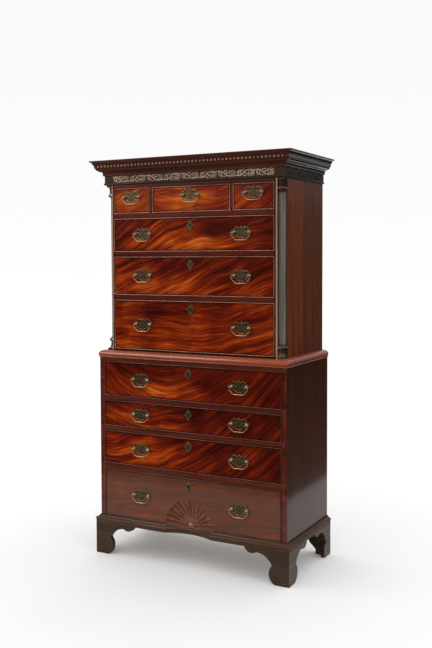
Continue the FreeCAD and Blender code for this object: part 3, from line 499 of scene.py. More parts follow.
# Darker copies for side faces: painted shade.
shaded_side_frieze = plain_wood("shaded_side_frieze", (20, 16, 12), (46, 36, 28), ALONG_Y, (0.42, 0.62), 0.3, grime_and_shade=0.9)
shaded_side_carving = plain_wood("shaded_side_carving", (32, 26, 20), (70, 58, 46), FINE, (0.35, 0.5), 0.3, grime_and_shade=0.9)
shaded_side_cornice = plain_wood("shaded_side_cornice", (24, 18, 13), (62, 48, 36), ALONG_Y, (0.3, 0.5), 1.0, grime_and_shade=0.8)
dentil_wood = plain_wood("dentil_wood", (104, 70, 54), (168, 128, 104), FINE, (0.35, 0.5), 0.4, grime_and_shade=1.0)
carved_fan = plain_wood("carved_fan", (82, 42, 30), (122, 72, 54), FINE, (0.4, 0.55), 0.2, grime_and_shade=0.9)
# Pale for the rubbed ridges and for the painted highlight on the fan's rim.
worn_and_highlit_ridge = plain_wood("worn_and_highlit_ridge", (130, 90, 68), (182, 138, 110), FINE, (0.35, 0.5), 0.3, grime_and_shade=0.2)
# The shaft's pale grey is painted sheen, the light its flutes reflect; its flutes get painted shade.
column_wood = plain_wood(
    "column_wood", (90, 86, 74), (166, 160, 146), ALONG_Z, (0.45, 0.65), 0.12, grime_and_shade=0.9
)
turned_wood = plain_wood("turned_wood", (48, 30, 24), (96, 66, 54), ALONG_Z, (0.2, 0.36), 0.9)
oak = plain_wood("drawer_oak", (112, 82, 50), (172, 136, 92), ALONG_Y, (0.6, 0.8), 0.0, offset=(5, 2, 1))
oak_across = plain_wood("drawer_oak_across", (106, 78, 48), (166, 130, 88), ALONG_X, (0.6, 0.8), 0.0)
pine = plain_wood(
    "backboard_pine", (92, 66, 42), (150, 116, 78), ALONG_Z, (0.7, 0.85), 0.0, stain=(70, 56, 42)
)


# %% [markdown]
# Two finishes change across the piece. Only the outer strip of a stile is pale: a painted highlight
# along the arris. A wide side is glued up from two boards, and the rear one here is the duller.


# %% Changes across a board
def tint(material, dark, axis, start, stop, shares, both_sides=False):
    """Blends a finish with a dark colour, by shares that change from start to stop along an axis."""
    tree = material.node_tree
    base = tree.nodes["Principled BSDF"].inputs["Base Color"]
    place = axes(tree, own_place(tree))[axis]
    if both_sides:
        place = maths(tree, "ABSOLUTE", place)
    share = spread(tree, place, start, stop, *shares)
    tree.links.new(mixed(tree, share, base.links[0].from_socket, colour(*dark)), base)


# Inside the outer strip the painted highlight gives way to dark wood.
inside_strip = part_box("upper_drawer_1_front")[1].x + 6 * MM
tint(stile_painted_highlight, (34, 12, 7), "X", inside_strip, inside_strip + 1.5 * MM, (1.0, 0.0), both_sides=True)
tint(upper_side_wood, (66, 46, 34), "Y", 18 * MM, 21 * MM, (0.0, 0.45))
print("plain finishes:", len(bpy.data.materials))

# %% [markdown]
# The drawer fronts are the showpiece: each is a different slice of flame veneer. A finish takes the
# middle of its drawer, which way the flame leans and bows, and where the gold pool of the figure lies.
# A painted shadow lies in a dark line along the inside of the bead.


# %% Flame veneer finish
BEAD_WIDE, BEAD_PROUD = 4 * MM, 2.5 * MM
BEAD_SHADOW_WIDTH = 4 * MM
FLAME_COLOURS = [
    (0.24, colour(36, 5, 3)), (0.39, colour(76, 15, 4)), (0.51, colour(116, 32, 5)),
    (0.63, colour(164, 64, 12)), (0.82, colour(226, 122, 34)),
]


def flame_veneer(name, low, high, slope, bow, swirl, seed, pool, warmth=1.0, depth=0.0, dull=0.0):
    """The finish of a front; pool is the gold place's middle, across and up, and how far it reaches."""
    middle, half = (low + high) / 2, (high - low) / 2
    material, tree, shader = new_finish(name, 0.4, 0.09)
    place = own_place(tree, (-middle.x, 0, -middle.z))
    values = {"Vector": place, "Slope": slope, "Bow": bow, "Swirl": swirl, "Seed": seed}
    flame = place_group(tree, flame_group, values)
    distance = vectors(tree, "SUBTRACT", place, (pool[0], middle.y, pool[1]))[0]
    distance = vectors(tree, "MULTIPLY", distance, (1 / pool[2], 0, 1 / pool[3]))[0]
    distance = vectors(tree, "LENGTH", distance)["Value"]
    gold = spread(tree, distance, 1.2, 0.0, -0.06 - depth, 0.13 * warmth - depth)
    glow = times(tree, minus(tree, flame["Glow"], 0.5), 0.35)
    wood = ramp(tree, plus(tree, plus(tree, flame["Figure"], gold), glow), FLAME_COLOURS)
    wood = mixed(tree, times(tree, flame["Fibre"], 0.3), wood, colour(56, 12, 4))
    wood = mixed(tree, times(tree, flame["Pores"], 0.5), wood, colour(26, 7, 3))
    if dull:
        haze = spread(tree, noise(tree, place, 7.0, 3.0, 0.6), 0.3, 0.75, dull * 0.7, dull)
        wood = mixed(tree, haze, wood, colour(92, 60, 42))
    # Painted shade near the bead and in hollows, along with grime.
    wood = mixed(tree, times(tree, grime_and_shade_near(tree, place, 6 * MM), 0.6), wood, colour(24, 8, 5))
    # A painted shadow darkens the face along the inside of the bead.
    out = axes(tree, vectors(tree, "ABSOLUTE", place)[0])
    from_end = minus(tree, half.x - BEAD_WIDE, out["X"])
    from_edge = minus(tree, half.z - BEAD_WIDE, out["Z"])
    nearest = maths(tree, "MINIMUM", from_end, from_edge)
    wood = mixed(tree, spread(tree, nearest, BEAD_SHADOW_WIDTH, 0.3 * BEAD_SHADOW_WIDTH, 0.0, 0.85), wood, colour(14, 4, 3))
    set_inputs(tree, shader, {"Base Color": wood})
    roughen(tree, shader, flame["Fibre"], 0.3, 0.46, 0.1)
    return material


# %% [markdown]
# Old brass is not yellow. It is a brown-green metal in the hollows, and pale only where hands and cloths
# rub it. Plates and rubbed parts are the same finish with other values.


# %% Brass finishes
def old_brass(name, dark, light, rough, crust):
    material, tree, shader = new_finish(name, 0.0, specular=0.4)
    place = own_place(tree)
    grime_and_shade = grime_and_shade_near(tree, place, 4 * MM)
    speckle = noise(tree, place, 420.0, 3.0, 0.6)
    metal = ramp(tree, speckle, [(0.3, colour(*dark)), (0.7, colour(*light))])
    bump = add(tree, "Bump", {"Height": speckle, "Strength": 0.12, "Distance": 0.3 * MM})
    values = {
        "Base Color": mixed(tree, times(tree, grime_and_shade, crust), metal, colour(26, 22, 14)),
        "Metallic": spread(tree, grime_and_shade, 0.0, 1.0, 0.9, 0.35),
        "Roughness": spread(tree, speckle, 0.3, 0.7, rough, rough + 0.2),
        "Normal": bump.outputs["Normal"],
    }
    set_inputs(tree, shader, values)
    return material


brass = old_brass("old_brass", (46, 40, 24), (92, 80, 52), 0.36, 0.9)
rubbed_brass = old_brass("rubbed_brass", (110, 94, 70), (182, 156, 124), 0.26, 0.7)
print("finishes so far:", len(bpy.data.materials))

# %% [markdown]
# ## Case boards
# The boards themselves are right as the frame has them, so they are only softened. Faces choose their
# finish by where they are: what shows in front is polished mahogany, and what only carries a drawer is
# plain oak or pine.


# %% Rails, cases and backboards
SHOWN_DEPTH, COLUMN_WIDE, SKIN = 62 * MM, 60 * MM, 2 * MM


def polished_in_front(face_y):
    return lambda middle, normal: 0 if middle.y < face_y + SHOWN_DEPTH else 1


def outside_or_in(half, face_y):
    """0 for a side's outer face, 1 for its front edge, 2 for the bare inside, 3 beside the column."""

    def choose(middle, normal):
        if abs(middle.x) > half - SKIN:
            return 0
        if middle.y < face_y + SKIN:
            return 1
        return 3 if middle.y < face_y + COLUMN_WIDE and abs(middle.x) > half - COLUMN_WIDE else 2

    return choose


lower_finishes = [lower_side_wood, rail_wood, pine, rail_wood]
upper_finishes = [upper_side_wood, stile_painted_highlight, pine, turned_wood]
for case, face_y in (("lower", FRONT), ("upper", UPPER_FRONT)):
    softened(case + "_rails", 1.4 * MM, [rail_wood, oak], polished_in_front(face_y))
softened("lower_carcase", 0.9 * MM, lower_finishes, outside_or_in(LOWER_HALF, FRONT))
softened("upper_carcase", 0.9 * MM, upper_finishes, outside_or_in(UPPER_HALF, UPPER_FRONT))
for case in ("lower", "upper"):
    softened(case + "_backboards", 1.2 * MM, [pine])

# %% [markdown]
# ## Mouldings
# A joiner sticks a moulding as one long strip and mitres it round the case. Here the outline is drawn
# once, as distances outward and up, and its edges are extruded from corner to corner. Each corner's
# offset points along the mitre, so the strip turns without a seam.


# %% Curved outlines
def bowed(points, steps=6):
    """An outline in metres from (across, up, bow) in millimetres.

    Bow is how far the way on to that point swells to its right.
    """
    outline = []
    for (x, y, _), (end_x, end_y, bow) in zip(points, points[1:] + points[:1]):
        start, chord = Vector((x, y)), Vector((end_x - x, end_y - y))
        outline.append(start)
        if bow:
            swell = Vector((chord.y, -chord.x)).normalized() * bow
            outline += [
                start + chord * (step / steps) + swell * 4 * (step / steps) * (1 - step / steps)
                for step in range(1, steps)
            ]
    return [(point.x * MM, point.y * MM) for point in outline]


# %% Mitred strips
def mitres(path):
    """How far one unit outward moves each point of a plan; the outside is on the right of the walk."""
    ways = [Vector((b[0] - a[0], b[1] - a[1])).normalized() for a, b in zip(path, path[1:])]
    outs = [Vector((way.y, -way.x)) for way in ways]
    offsets = [outs[0]]
    for before, after in zip(outs, outs[1:]):
        both = before + after
        offsets.append(both / (both.dot(before)))
    return offsets + [outs[-1]]


def rounded(place):
    return tuple(round(part, 6) for part in place)


def strip(outline, path):
    """Sweeps a closed outline of (outward, up) along a plan of (x, y)."""
    bm = bmesh.new()
    offsets = mitres(path)

    def spot(point, station):
        (x, y), offset = path[station], offsets[station]
        return Vector((x + offset.x * point[0], y + offset.y * point[0], point[1]))

    ring = [bm.verts.new(spot(point, 0)) for point in outline]
    edges = [bm.edges.new((a, b)) for a, b in zip(ring, ring[1:] + ring[:1])]
    bmesh.ops.contextual_create(bm, geom=edges)
    for station in range(1, len(path)):
        made = bmesh.ops.extrude_edge_only(bm, edges=edges)["geom"]
        edges = only(BMEdge, made)
        before = {rounded(spot(point, station - 1)): point for point in outline}
        for vert in only(BMVert, made):
            vert.co = spot(before[rounded(vert.co)], station)
    bmesh.ops.contextual_create(bm, geom=edges)
    bmesh.ops.recalc_face_normals(bm, faces=bm.faces)
    return bm


# %% A moulding that stands for its node
def round_case(half, front):
    return [(-half, BACK), (-half, front), (half, front), (half, BACK)]


def on_side(middle, normal):
    """1 for a face that looks sideways, else 0."""
    return 1 if abs(normal.x) > abs(normal.y) else 0


def moulding(node, points, level, plan, materials, rounding=0.5 * MM):
    """A mitred strip that stands for the node; its outline is drawn from a level."""
    bm = strip([(out, up + level) for out, up in bowed(points)], plan)
    if len(materials) > 1:
        # Side faces take the second finish, a darker copy: painted shade.
        bm.normal_update()
        paint_faces(bm, on_side)
    piece = finish_piece(bm, node + "_strip", "case", materials, 30, rounding)
    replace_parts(piece, node)
    print(node, "has", len(piece.data.polygons), "faces")


# %% [markdown]
# The cornice climbs outwards in steps: a fillet, a cove, a fillet, a round ovolo, the flat band that
# carries the dentils, a wide hollow and a square fillet on top. Heights are measured down from its top.

# %% Cornice
DEEP = (TOP - frieze_high) / MM
upper_plan, lower_plan = round_case(UPPER_HALF, UPPER_FRONT), round_case(LOWER_HALF, FRONT)
cornice_outline = [
    (0, -DEEP, 0), (9, -DEEP, 0), (11, -67, 0), (11, -59, 0), (21, -50, -2.8), (24, -50, 0),
    (24, -47.5, 0), (36, -37, 3.2), (38, -37, 0), (38, -34, 0), (41, -33, 0), (41, -20, 0),
    (46, -20, 0), (55, -6, -3.0), (58, -6, 0), (58, 0, 0), (0, 0, 0),
]
# The cornice's side faces take the darker copy: painted shade.
moulding("cornice", cornice_outline, TOP, upper_plan, [cornice_wood, shaded_side_cornice], 0.6 * MM)
softened("dentil_course", 0.8 * MM, [dentil_wood])

# %% [markdown]
# The waist moulding hides the joint of the two cases: a small bead below, a hollow, and a broad round
# shoulder that leans back to the upper case and catches the light from above.

# %% Waist moulding
step_in = CASE_STEP / MM
waist_outline = [
    (0, 0, 0), (3, 0, 0), (3, 5, 1.9), (1.5, 6, 0), (6, 12, -0.9), (-13, 33, 5.5), (-step_in, 34, 0),
    (-step_in, 18, 0), (0, 18, 0),
]
moulding("waist_moulding", waist_outline, waist_low, lower_plan, [waist_wood], 0.3 * MM)

# %% [markdown]
# The base moulding follows the case, but its front sinks back in a shallow arc to meet the fan of the
# lowest drawer. The plan gets more points there and the same outline is swept along it.

# %% Base moulding
FAN_HALF, FAN_SINK = 127 * MM, 30 * MM
NICHE_RADIUS = (FAN_HALF**2 + FAN_SINK**2) / (2 * FAN_SINK)
NICHE_CENTRE, BAY_STEPS = FRONT + FAN_SINK - NICHE_RADIUS, 24
fan_turn = math.asin(FAN_HALF / NICHE_RADIUS)
turns = [fan_turn * (2 * step / BAY_STEPS - 1) for step in range(BAY_STEPS + 1)]
bay = [(NICHE_RADIUS * math.sin(turn), NICHE_CENTRE + NICHE_RADIUS * math.cos(turn)) for turn in turns]
apron_down = (apron_low - CASE_FLOOR) / MM
base_outline = [
    (0, -18, 0), (-45, -18, 0), (-45, apron_down, 0), (18, apron_down, 0), (18, -20, 0), (18, -12, 3.4),
    (16.5, -10.5, 0), (5, 0, -2.6), (0, 0, 0),
]
moulding("base_moulding", base_outline, CASE_FLOOR, lower_plan[:2] + bay + lower_plan[2:], [base_wood])


# %% Feet and frieze board
def front_or_side(middle, normal):
    """1 for the outer side faces of the feet, which are painted paler than their fronts as a sheen."""
    return 1 if abs(normal.x) > 0.7 and abs(middle.x) > FOOT_OUT - SKIN else 0


softened("bracket_feet", 1.6 * MM, [foot_wood, foot_side_sheen], front_or_side)
# The frieze's side faces take the darker copy: painted shade.
softened("frieze", 0.8 * MM, [frieze_wood, shaded_side_frieze], on_side)

# %% [markdown]
# ## Carving and castings
# Carved strokes, castings and bails are easiest to draw as round curves that taper along their route.
# Knobs are half an outline spun round. Each is made a mesh at once, so that its place can go into the
# mesh.


# %% Curves and turnings made into meshes
UPRIGHT = Matrix.Rotation(math.pi / 2, 4, "X")


def upright_at(x, y, z):
    """Stands a flat shape up to face the front at a place."""
    return Matrix.Translation((x, y, z)) @ UPRIGHT


def tapered_wires(name, routes, thick, smoothness=4, sides=1):
    """Wires along smooth routes of (x, y, z, width) in millimetres; width is a share of thick."""
    data = bpy.data.curves.new(name, "CURVE")
    data.dimensions, data.use_fill_caps = "3D", True
    data.bevel_depth, data.bevel_resolution = thick, sides
    for route in routes:
        spline = data.splines.new("NURBS")
        spline.points.add(len(route) - 1)
        for point, (x, y, z, width) in zip(spline.points, route):
            point.co = (x * MM, y * MM, z * MM, 1)
            point.radius = width
        spline.order_u, spline.use_endpoint_u, spline.resolution_u = 3, True, smoothness
    holder = bpy.data.objects.new(name, data)
    mesh = bpy.data.meshes.new_from_object(holder)
    bpy.data.objects.remove(holder)
    bpy.data.curves.remove(data)
    return mesh


def both_hands(routes):
    """Each route and its mirror image."""
    return [hand for route in routes for hand in (route, [(-x, y, z, width) for x, y, z, width in route])]


def turned(profile, steps=16):
    """Spins an outline of (radius, height) in millimetres about the upright axis."""
    bm = bmesh.new()
    verts = [bm.verts.new((radius * MM, 0, height * MM)) for radius, height in profile]
    edges = [bm.edges.new(pair) for pair in zip(verts, verts[1:])]
    bmesh.ops.spin(
        bm, geom=verts + edges, cent=(0, 0, 0), axis=(0, 0, 1), angle=TURN, steps=steps, use_merge=True
    )
    bmesh.ops.remove_doubles(bm, verts=bm.verts, dist=0.02 * MM)
    bmesh.ops.recalc_face_normals(bm, faces=bm.faces)
    return as_mesh(bm, "turned")


def join(bm, mesh, matrix, material=0):
    """Adds a mesh to a bmesh, moved by a matrix and given one material number."""
    old_verts, old_faces = set(bm.verts), set(bm.faces)
    bm.from_mesh(mesh)
    bmesh.ops.transform(bm, matrix=matrix, verts=[vert for vert in bm.verts if vert not in old_verts])
    for face in bm.faces:
        if face not in old_faces:
            face.material_index = material
    return bm


# %% [markdown]
# The frieze is carved with a running scroll of leaves. A carver strikes each leaf with one gouge, so each
# leaf here is one tapered stroke. One length of the scroll is made once, then set again and again along
# the board, every other one upside down so that the stem waves up and down. The last bit at each corner
# stays plain.

# %% One length of the running scroll
SCROLL_LONG, STROKE = 90 * MM, 2.5 * MM
strokes = [
    [(-45, -9, 0, 0.9), (-30, -12, 0, 1.2), (-14, -6, 0, 1.3), (-2, 6, 0, 1.2), (10, 11, 0, 1),
     (24, 9, 0, 1), (30, 0, 0, 0.9), (24, -8, 0, 0.8), (15, -6, 0, 0.8), (14, 1, 0, 0.8),
     (19, 2, 0, 1.5)],
    [(8, 11, 0, 0.9), (26, 13, 0, 1), (45, 9, 0, 0.9)],
    [(-30, -12, 0, 0.5), (-37, -2, 0, 1.6), (-32, 9, 0, 1.5), (-26, 12, 0, 0.4)],
    [(-22, -9, 0, 0.5), (-26, 2, 0, 1.6), (-18, 11, 0, 1.4), (-12, 12, 0, 0.4)],
    [(-12, -4, 0, 0.5), (-8, -11, 0, 1.4), (0, -13, 0, 1.3), (7, -11, 0, 0.4)],
    [(-3, 3, 0, 0.5), (3, -3, 0, 1.5), (9, -5, 0, 1.0), (12, -3, 0, 0.4)],
    [(0, 8, 0, 0.5), (-6, 13, 0, 1.1), (-12, 13, 0, 0.4)],
    [(29, 4, 0, 0.5), (36, 6, 0, 1.5), (42, 1, 0, 1.2), (43, -4, 0, 0.4)],
    [(29, -4, 0, 0.5), (35, -4, 0, 1.3), (40, -9, 0, 1.3), (42, -13, 0, 0.4)],
    [(23, -8, 0, 0.5), (27, -13, 0, 1.3), (34, -13, 0, 0.5)],
    [(13, -7, 0, 0.5), (12, -13, 0, 1.2), (20, -13, 0, 0.5)],
]
scroll = tapered_wires("running_scroll", strokes, STROKE, 3)
print("one length of scroll has", len(scroll.polygons), "faces")

# %% Carving along the front and the sides
FRIEZE_FACE = UPPER_FRONT - 4.5 * MM
PLAIN_END = 46 * MM
ASTRAGAL, LEAF_TALL, SIDE_END = 9 * MM, 1.12, 12 * MM
carving_level = (column_high + ASTRAGAL + frieze_high) / 2
FLATTEN = Matrix.Diagonal((1, 1, 0.62, 1))


def carve_along(bm, start, end, turn, material):
    """Sets lengths of scroll from start to end, both plan points, facing the way that turn gives."""
    way = end - start
    count = round(way.length / SCROLL_LONG)
    stretch = Matrix.Diagonal((way.length / count / SCROLL_LONG, 1, 1, 1))
    for index in range(count):
        middle = start + way * ((index + 0.5) / count)
        over = Matrix.Diagonal((1, LEAF_TALL if index % 2 else -LEAF_TALL, 1, 1))
        spot = Matrix.Translation((middle.x, middle.y, carving_level)) @ Matrix.Rotation(turn, 4, "Z")
        join(bm, scroll, spot @ UPRIGHT @ FLATTEN @ stretch @ over, material)
    return count


carving = bmesh.new()
side_face = UPPER_HALF + UPPER_FRONT - FRIEZE_FACE
front_end = Vector((side_face - PLAIN_END, FRIEZE_FACE))
near, far = Vector((side_face, FRIEZE_FACE + PLAIN_END / 2)), Vector((side_face, BACK - SIDE_END))
other_side = Vector((-1, 1))
lengths = carve_along(carving, front_end * other_side, front_end, 0, 0)
# The sides carry the darker carving finish: painted shade.
lengths += carve_along(carving, near, far, math.pi / 2, 1)
lengths += carve_along(carving, far * other_side, near * other_side, -math.pi / 2, 1)
bmesh.ops.recalc_face_normals(carving, faces=carving.faces)
finish_piece(carving, "frieze_carving", "case", [carved_wood, shaded_side_carving], 60)
print("the frieze carries", lengths, "lengths of scroll")

# %% Columns
CAP_TALL = 60 * MM


def cap_or_shaft(middle, normal):
    return 0 if column_low + CAP_TALL < middle.z < column_high - CAP_TALL else 1


# The shaft carries the painted grey sheen, the caps turned wood.
softened("quarter_columns", 0.5 * MM, [column_wood, turned_wood], cap_or_shaft)

# %% [markdown]
# ## Drawers
# Each front is a veneered board inside a thin proud bead. The bead is a separate strip of paler wood on
# the real drawer, so the frame's square bead is taken off the copy and a rounded one is made by insetting
# and extruding.

# %% The figure of each front
FIGURES = {
    "short_drawer_left": (0.5, 0.0, 0.03, 3.1, (-0.02, -0.01, 0.16, 0.08), 1.0),
    "short_drawer_middle": (0.1, 0.9, 0.06, 7.4, (0.0, 0.0, 0.3, 0.09), 1.6),
    "short_drawer_right": (0.7, 0.0, 0.03, 5.2, (-0.04, -0.02, 0.12, 0.06), 0.9),
    "upper_drawer_1": (0.36, -0.35, 0.05, 1.7, (0.02, -0.04, 0.42, 0.05), 1.2, 0.02),
    "upper_drawer_2": (0.42, 0.0, 0.04, 9.3, (-0.1, -0.05, 0.45, 0.07), 0.9),
    "upper_drawer_3": (0.06, 0.25, 0.05, 12.6, (-0.05, -0.06, 0.5, 0.1), 0.6),
    "lower_drawer_1": (0.25, 1.1, 0.06, 15.9, (-0.22, -0.05, 0.3, 0.08), 1.3, 0.05),
    "lower_drawer_2": (0.3, 0.9, 0.06, 18.2, (-0.34, 0.0, 0.25, 0.08), 1.4, 0.07),
    "lower_drawer_3": (0.45, 0.5, 0.06, 21.8, (-0.25, -0.02, 0.35, 0.08), 1.4, 0.07),
    "lower_drawer_4": (0.08, 0.1, 0.04, 25.1, (-0.2, -0.06, 0.3, 0.1), 0.4, 0.03, 0.72),
}
veneers = {}
for name, figure in FIGURES.items():
    veneers[name] = flame_veneer("veneer_" + name, *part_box(name + "_front"), *figure)
print("veneers:", len(veneers))

# %% [markdown]
# The bead begins as one flat face the size of the front. Insetting it leaves a ring, the ring is extruded
# forward, the middle is deleted, and a bevel rounds the ring's two front edges.


# %% Fronts and beads
FAN_DRAWER = "lower_drawer_4"
BEAD_ROUND, VENEER_THICK, SLACK = 1.7 * MM, 3 * MM, 0.1 * MM


def bead_ring(low, high, face_y):
    bm = bmesh.new()
    middle, size = (low + high) / 2, high - low
    place = upright_at(middle.x, face_y, middle.z) @ Matrix.Diagonal((size.x, size.z, 1, 1))
    bmesh.ops.create_grid(bm, x_segments=1, y_segments=1, size=0.5, matrix=place)
    centre = bm.faces[:]
    ring = bmesh.ops.inset_region(bm, faces=centre, thickness=BEAD_WIDE, use_boundary=True)["faces"]
    bmesh.ops.delete(bm, geom=centre, context="FACES")
    raised = only(BMVert, bmesh.ops.extrude_face_region(bm, geom=ring)["geom"])
    bmesh.ops.translate(bm, vec=(0, -BEAD_PROUD, 0), verts=raised)
    half_up = face_y - BEAD_PROUD / 2
    rims = [edge for edge in creases(bm, 57) if all(vert.co.y < half_up for vert in edge.verts)]
    round_edges(bm, rims, BEAD_ROUND, 5)
    bmesh.ops.recalc_face_normals(bm, faces=bm.faces)
    return bm


def leave_out_fan(bm, low):
    """Takes away the length of bead that would cross the fan."""
    for side in (-1, 1):
        cut(bm, (side * FAN_HALF, 0, 0), (1, 0, 0))
    middles = [(face, face.calc_center_median()) for face in bm.faces]
    crossing = [face for face, at in middles if abs(at.x) < FAN_HALF and at.z < low.z + 2 * BEAD_WIDE]
    bmesh.ops.delete(bm, geom=crossing, context="FACES")


# %% [markdown]
# The fan is a dished half round with a flute for every gouge cut. It is worked out point by point on rays
# from the hub: the dish is one arc, each flute is a hollow between two rays, and at the rim the cut ends
# in a steep wall. The ridges between the flutes are rubbed pale, and the right part of the rim is painted
# pale as a highlight.

# %% The carved fan
FLUTES, FLUTE_DEEP, RIDGE = 13, 5 * MM, 0.8 * MM
HUB, FULL_DEPTH, WALL, HUB_LEAVES = 17 * MM, 60 * MM, 3 * MM, 7
HIGHLIGHT_RIM_SHARE = 0.6                                 # share of the rim, from the right, painted pale as a highlight
SHARES = (0.16, 0.27, 0.38, 0.5, 0.62, 0.73, 0.84)
RADII = [part * MM for part in (15, 21, 30, 42, 55, 70, 85, 100, 112, 121, 125)] + [FAN_HALF]


def dish(radius):
    """How deep the niche is at that distance from the hub."""
    return math.sqrt(NICHE_RADIUS**2 - radius**2) - NICHE_RADIUS + FAN_SINK


def in_fan(face, face_y, floor_z):
    """True for the faces of a front's niche, looking forward."""
    middle = face.calc_center_median()
    near = math.hypot(middle.x, middle.z - floor_z) < FAN_HALF + 0.5 * MM
    sunk = face_y + 0.3 * MM < middle.y < face_y + FAN_SINK + 6 * MM
    return near and sunk and abs(face.normal.z) < 0.99


def fan_carving(face_y, floor_z):
    """Rows of points at every radius, joined by faces, with a boss and leaves at the hub."""
    bm = bmesh.new()
    rows = []
    for radius in RADII:
        edge = min(0.1, RIDGE * FLUTES / (math.pi * radius))
        deep = FLUTE_DEEP * min(1, (radius - HUB) / FULL_DEPTH) if radius > HUB else 0
        if radius > FAN_HALF - WALL:
            deep *= (FAN_HALF - radius) / (4 * MM)
        bottom = face_y + dish(radius)
        row = []
        for place in [flute + share for flute in range(FLUTES) for share in (0, edge, *SHARES, 1 - edge)]:
            share = place % 1
            turn = math.pi * place / FLUTES
            on_ridge = share < edge + 1e-6 or share > 1 - edge - 1e-6
            hollow = 0 if on_ridge else deep * (1 - (2 * share - 1) ** 2)
            across, up = radius * math.cos(turn), radius * math.sin(turn)
            row.append(bm.verts.new((across, bottom + hollow, floor_z + up)))
        rows.append(row + [bm.verts.new((-radius, bottom, floor_z))])
    per_flute = len(SHARES) + 3
    for inner, outer in zip(rows, rows[1:]):
        for place in range(len(inner) - 1):
            face = bm.faces.new((outer[place], outer[place + 1], inner[place + 1], inner[place]))
            # The right part of the outer row is a painted highlight; the ridges are rubbed pale.
            highlit_rim = outer is rows[-1] and place < HIGHLIGHT_RIM_SHARE * len(inner)
            face.material_index = 1 if highlit_rim or place % per_flute in (0, per_flute - 1) else 0
    back = face_y + dish(HUB)
    boss = turned([(HUB / MM, 0), (HUB / MM - 1, 3), (HUB / MM - 5, 6.5), (6, 8), (0, 8.3)], 26)
    join(bm, boss, upright_at(0, back, floor_z))
    cut(bm, (0, 0, floor_z), (0, 0, -1), clear_outer=True)
    leaves = []
    for leaf in range(HUB_LEAVES):
        turn = math.pi * (leaf + 0.5) / HUB_LEAVES
        leaves.append([(out * math.cos(turn), out * math.sin(turn), lift, wide)
                       for out, lift, wide in ((2, 9, 0.6), (9, 8, 1.2), (16, 4, 1.5), (21, 1, 0.5))])
    join(bm, tapered_wires("hub_leaves", leaves, 1.7 * MM), upright_at(0, back, floor_z + 2 * MM), 1)
    return bm


# %% [markdown]
# A front is put together from its parts: the frame's board without its square bead, the round bead, and
# on the lowest drawer the fan in place of the frame's niche.


# %% Dress every front
def drawer_face(name):
    """The board without the frame's square bead, the round bead, and on the lowest drawer the fan."""
    node = name + "_front"
    low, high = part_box(node)
    face_y = low.y + BEAD_PROUD
    bm = merged_copy(node)
    proud = [
        face
        for face in bm.faces
        if min(vert.co.y for vert in face.verts) < face_y - SLACK
        or (face.normal.y > 0.9 and face.calc_center_median().y < face_y + SLACK)
    ]
    bmesh.ops.delete(bm, geom=proud, context="FACES")
    join_flat_faces(bm)
    if name == FAN_DRAWER:
        carved = [face for face in bm.faces if in_fan(face, face_y, low.z)]
        bmesh.ops.delete(bm, geom=carved, context="FACES")
    paint_faces(bm, lambda middle, normal: 0 if middle.y < face_y + VENEER_THICK else 1)
    round_edges(bm, creases(bm, 35), 0.5 * MM)
    board = finish_piece(bm, node + "_board", name, [veneers[name], oak_across])
    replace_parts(board, node)
    ring = bead_ring(low, high, face_y)
    if name == FAN_DRAWER:
        leave_out_fan(ring, low)
        fan = fan_carving(face_y, low.z)
        finish_piece(fan, "fan_carving", name, [carved_fan, worn_and_highlit_ridge], 70)
    # Lower fronts take the darker bead: painted shade.
    bead_lit_or_shaded = lower_bead if name.startswith("lower") else upper_bead
    bead = finish_piece(ring, node + "_bead", name, [bead_lit_or_shaded], 50)
    print(name, "front has", len(board.data.polygons), "faces, its bead", len(bead.data.polygons))


for name in DRAWERS:
    drawer_face(name)

# %% Drawer boxes
SIDE_THICK = 10.5 * MM


def side_or_cross(node):
    low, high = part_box(node)
    left, right = low.x + SIDE_THICK, high.x - SIDE_THICK
    return lambda middle, normal: 1 if left <= middle.x <= right else 0


for name in DRAWERS:
    node = name + "_box"
    softened(node, 0.7 * MM, [oak, oak_across], side_or_cross(node))

# %% [markdown]
# ## Brasses
# A founder casts each plate thin, files its outline and saws out the openings. Here the space between the
# outlines is filled with triangles, given a thickness and rounded along its upper rims. One plate serves
# all the handles. The scrolls that stand up on it are tapered wires, half sunk in it.


# %% The pierced back plate
PLATE_THICK = 1.8 * MM


def whole(half):
    """A closed outline from its right half."""
    return bowed(half + [(-x, y, 0) for x, y, _ in half[-2:0:-1]], 3)


def sawn_plate(name, outlines):
    """A plate lying in x and y, from outlines in metres; all but the first are openings."""
    bm = bmesh.new()
    for outline in outlines:
        ring = [bm.verts.new((*spot, -PLATE_THICK / 2)) for spot in outline]
        for pair in zip(ring, ring[1:] + ring[:1]):
            bm.edges.new(pair)
    bmesh.ops.triangle_fill(bm, use_beauty=True, use_dissolve=False, edges=bm.edges)
    top = only(BMVert, bmesh.ops.extrude_face_region(bm, geom=bm.faces[:])["geom"])
    bmesh.ops.translate(bm, vec=(0, 0, PLATE_THICK), verts=top)
    bmesh.ops.recalc_face_normals(bm, faces=bm.faces)
    rims = [edge for edge in creases(bm, 60) if all(vert.co.z > 0 for vert in edge.verts)]
    round_edges(bm, rims, 0.35 * MM, 1)
    return as_mesh(bm, name)


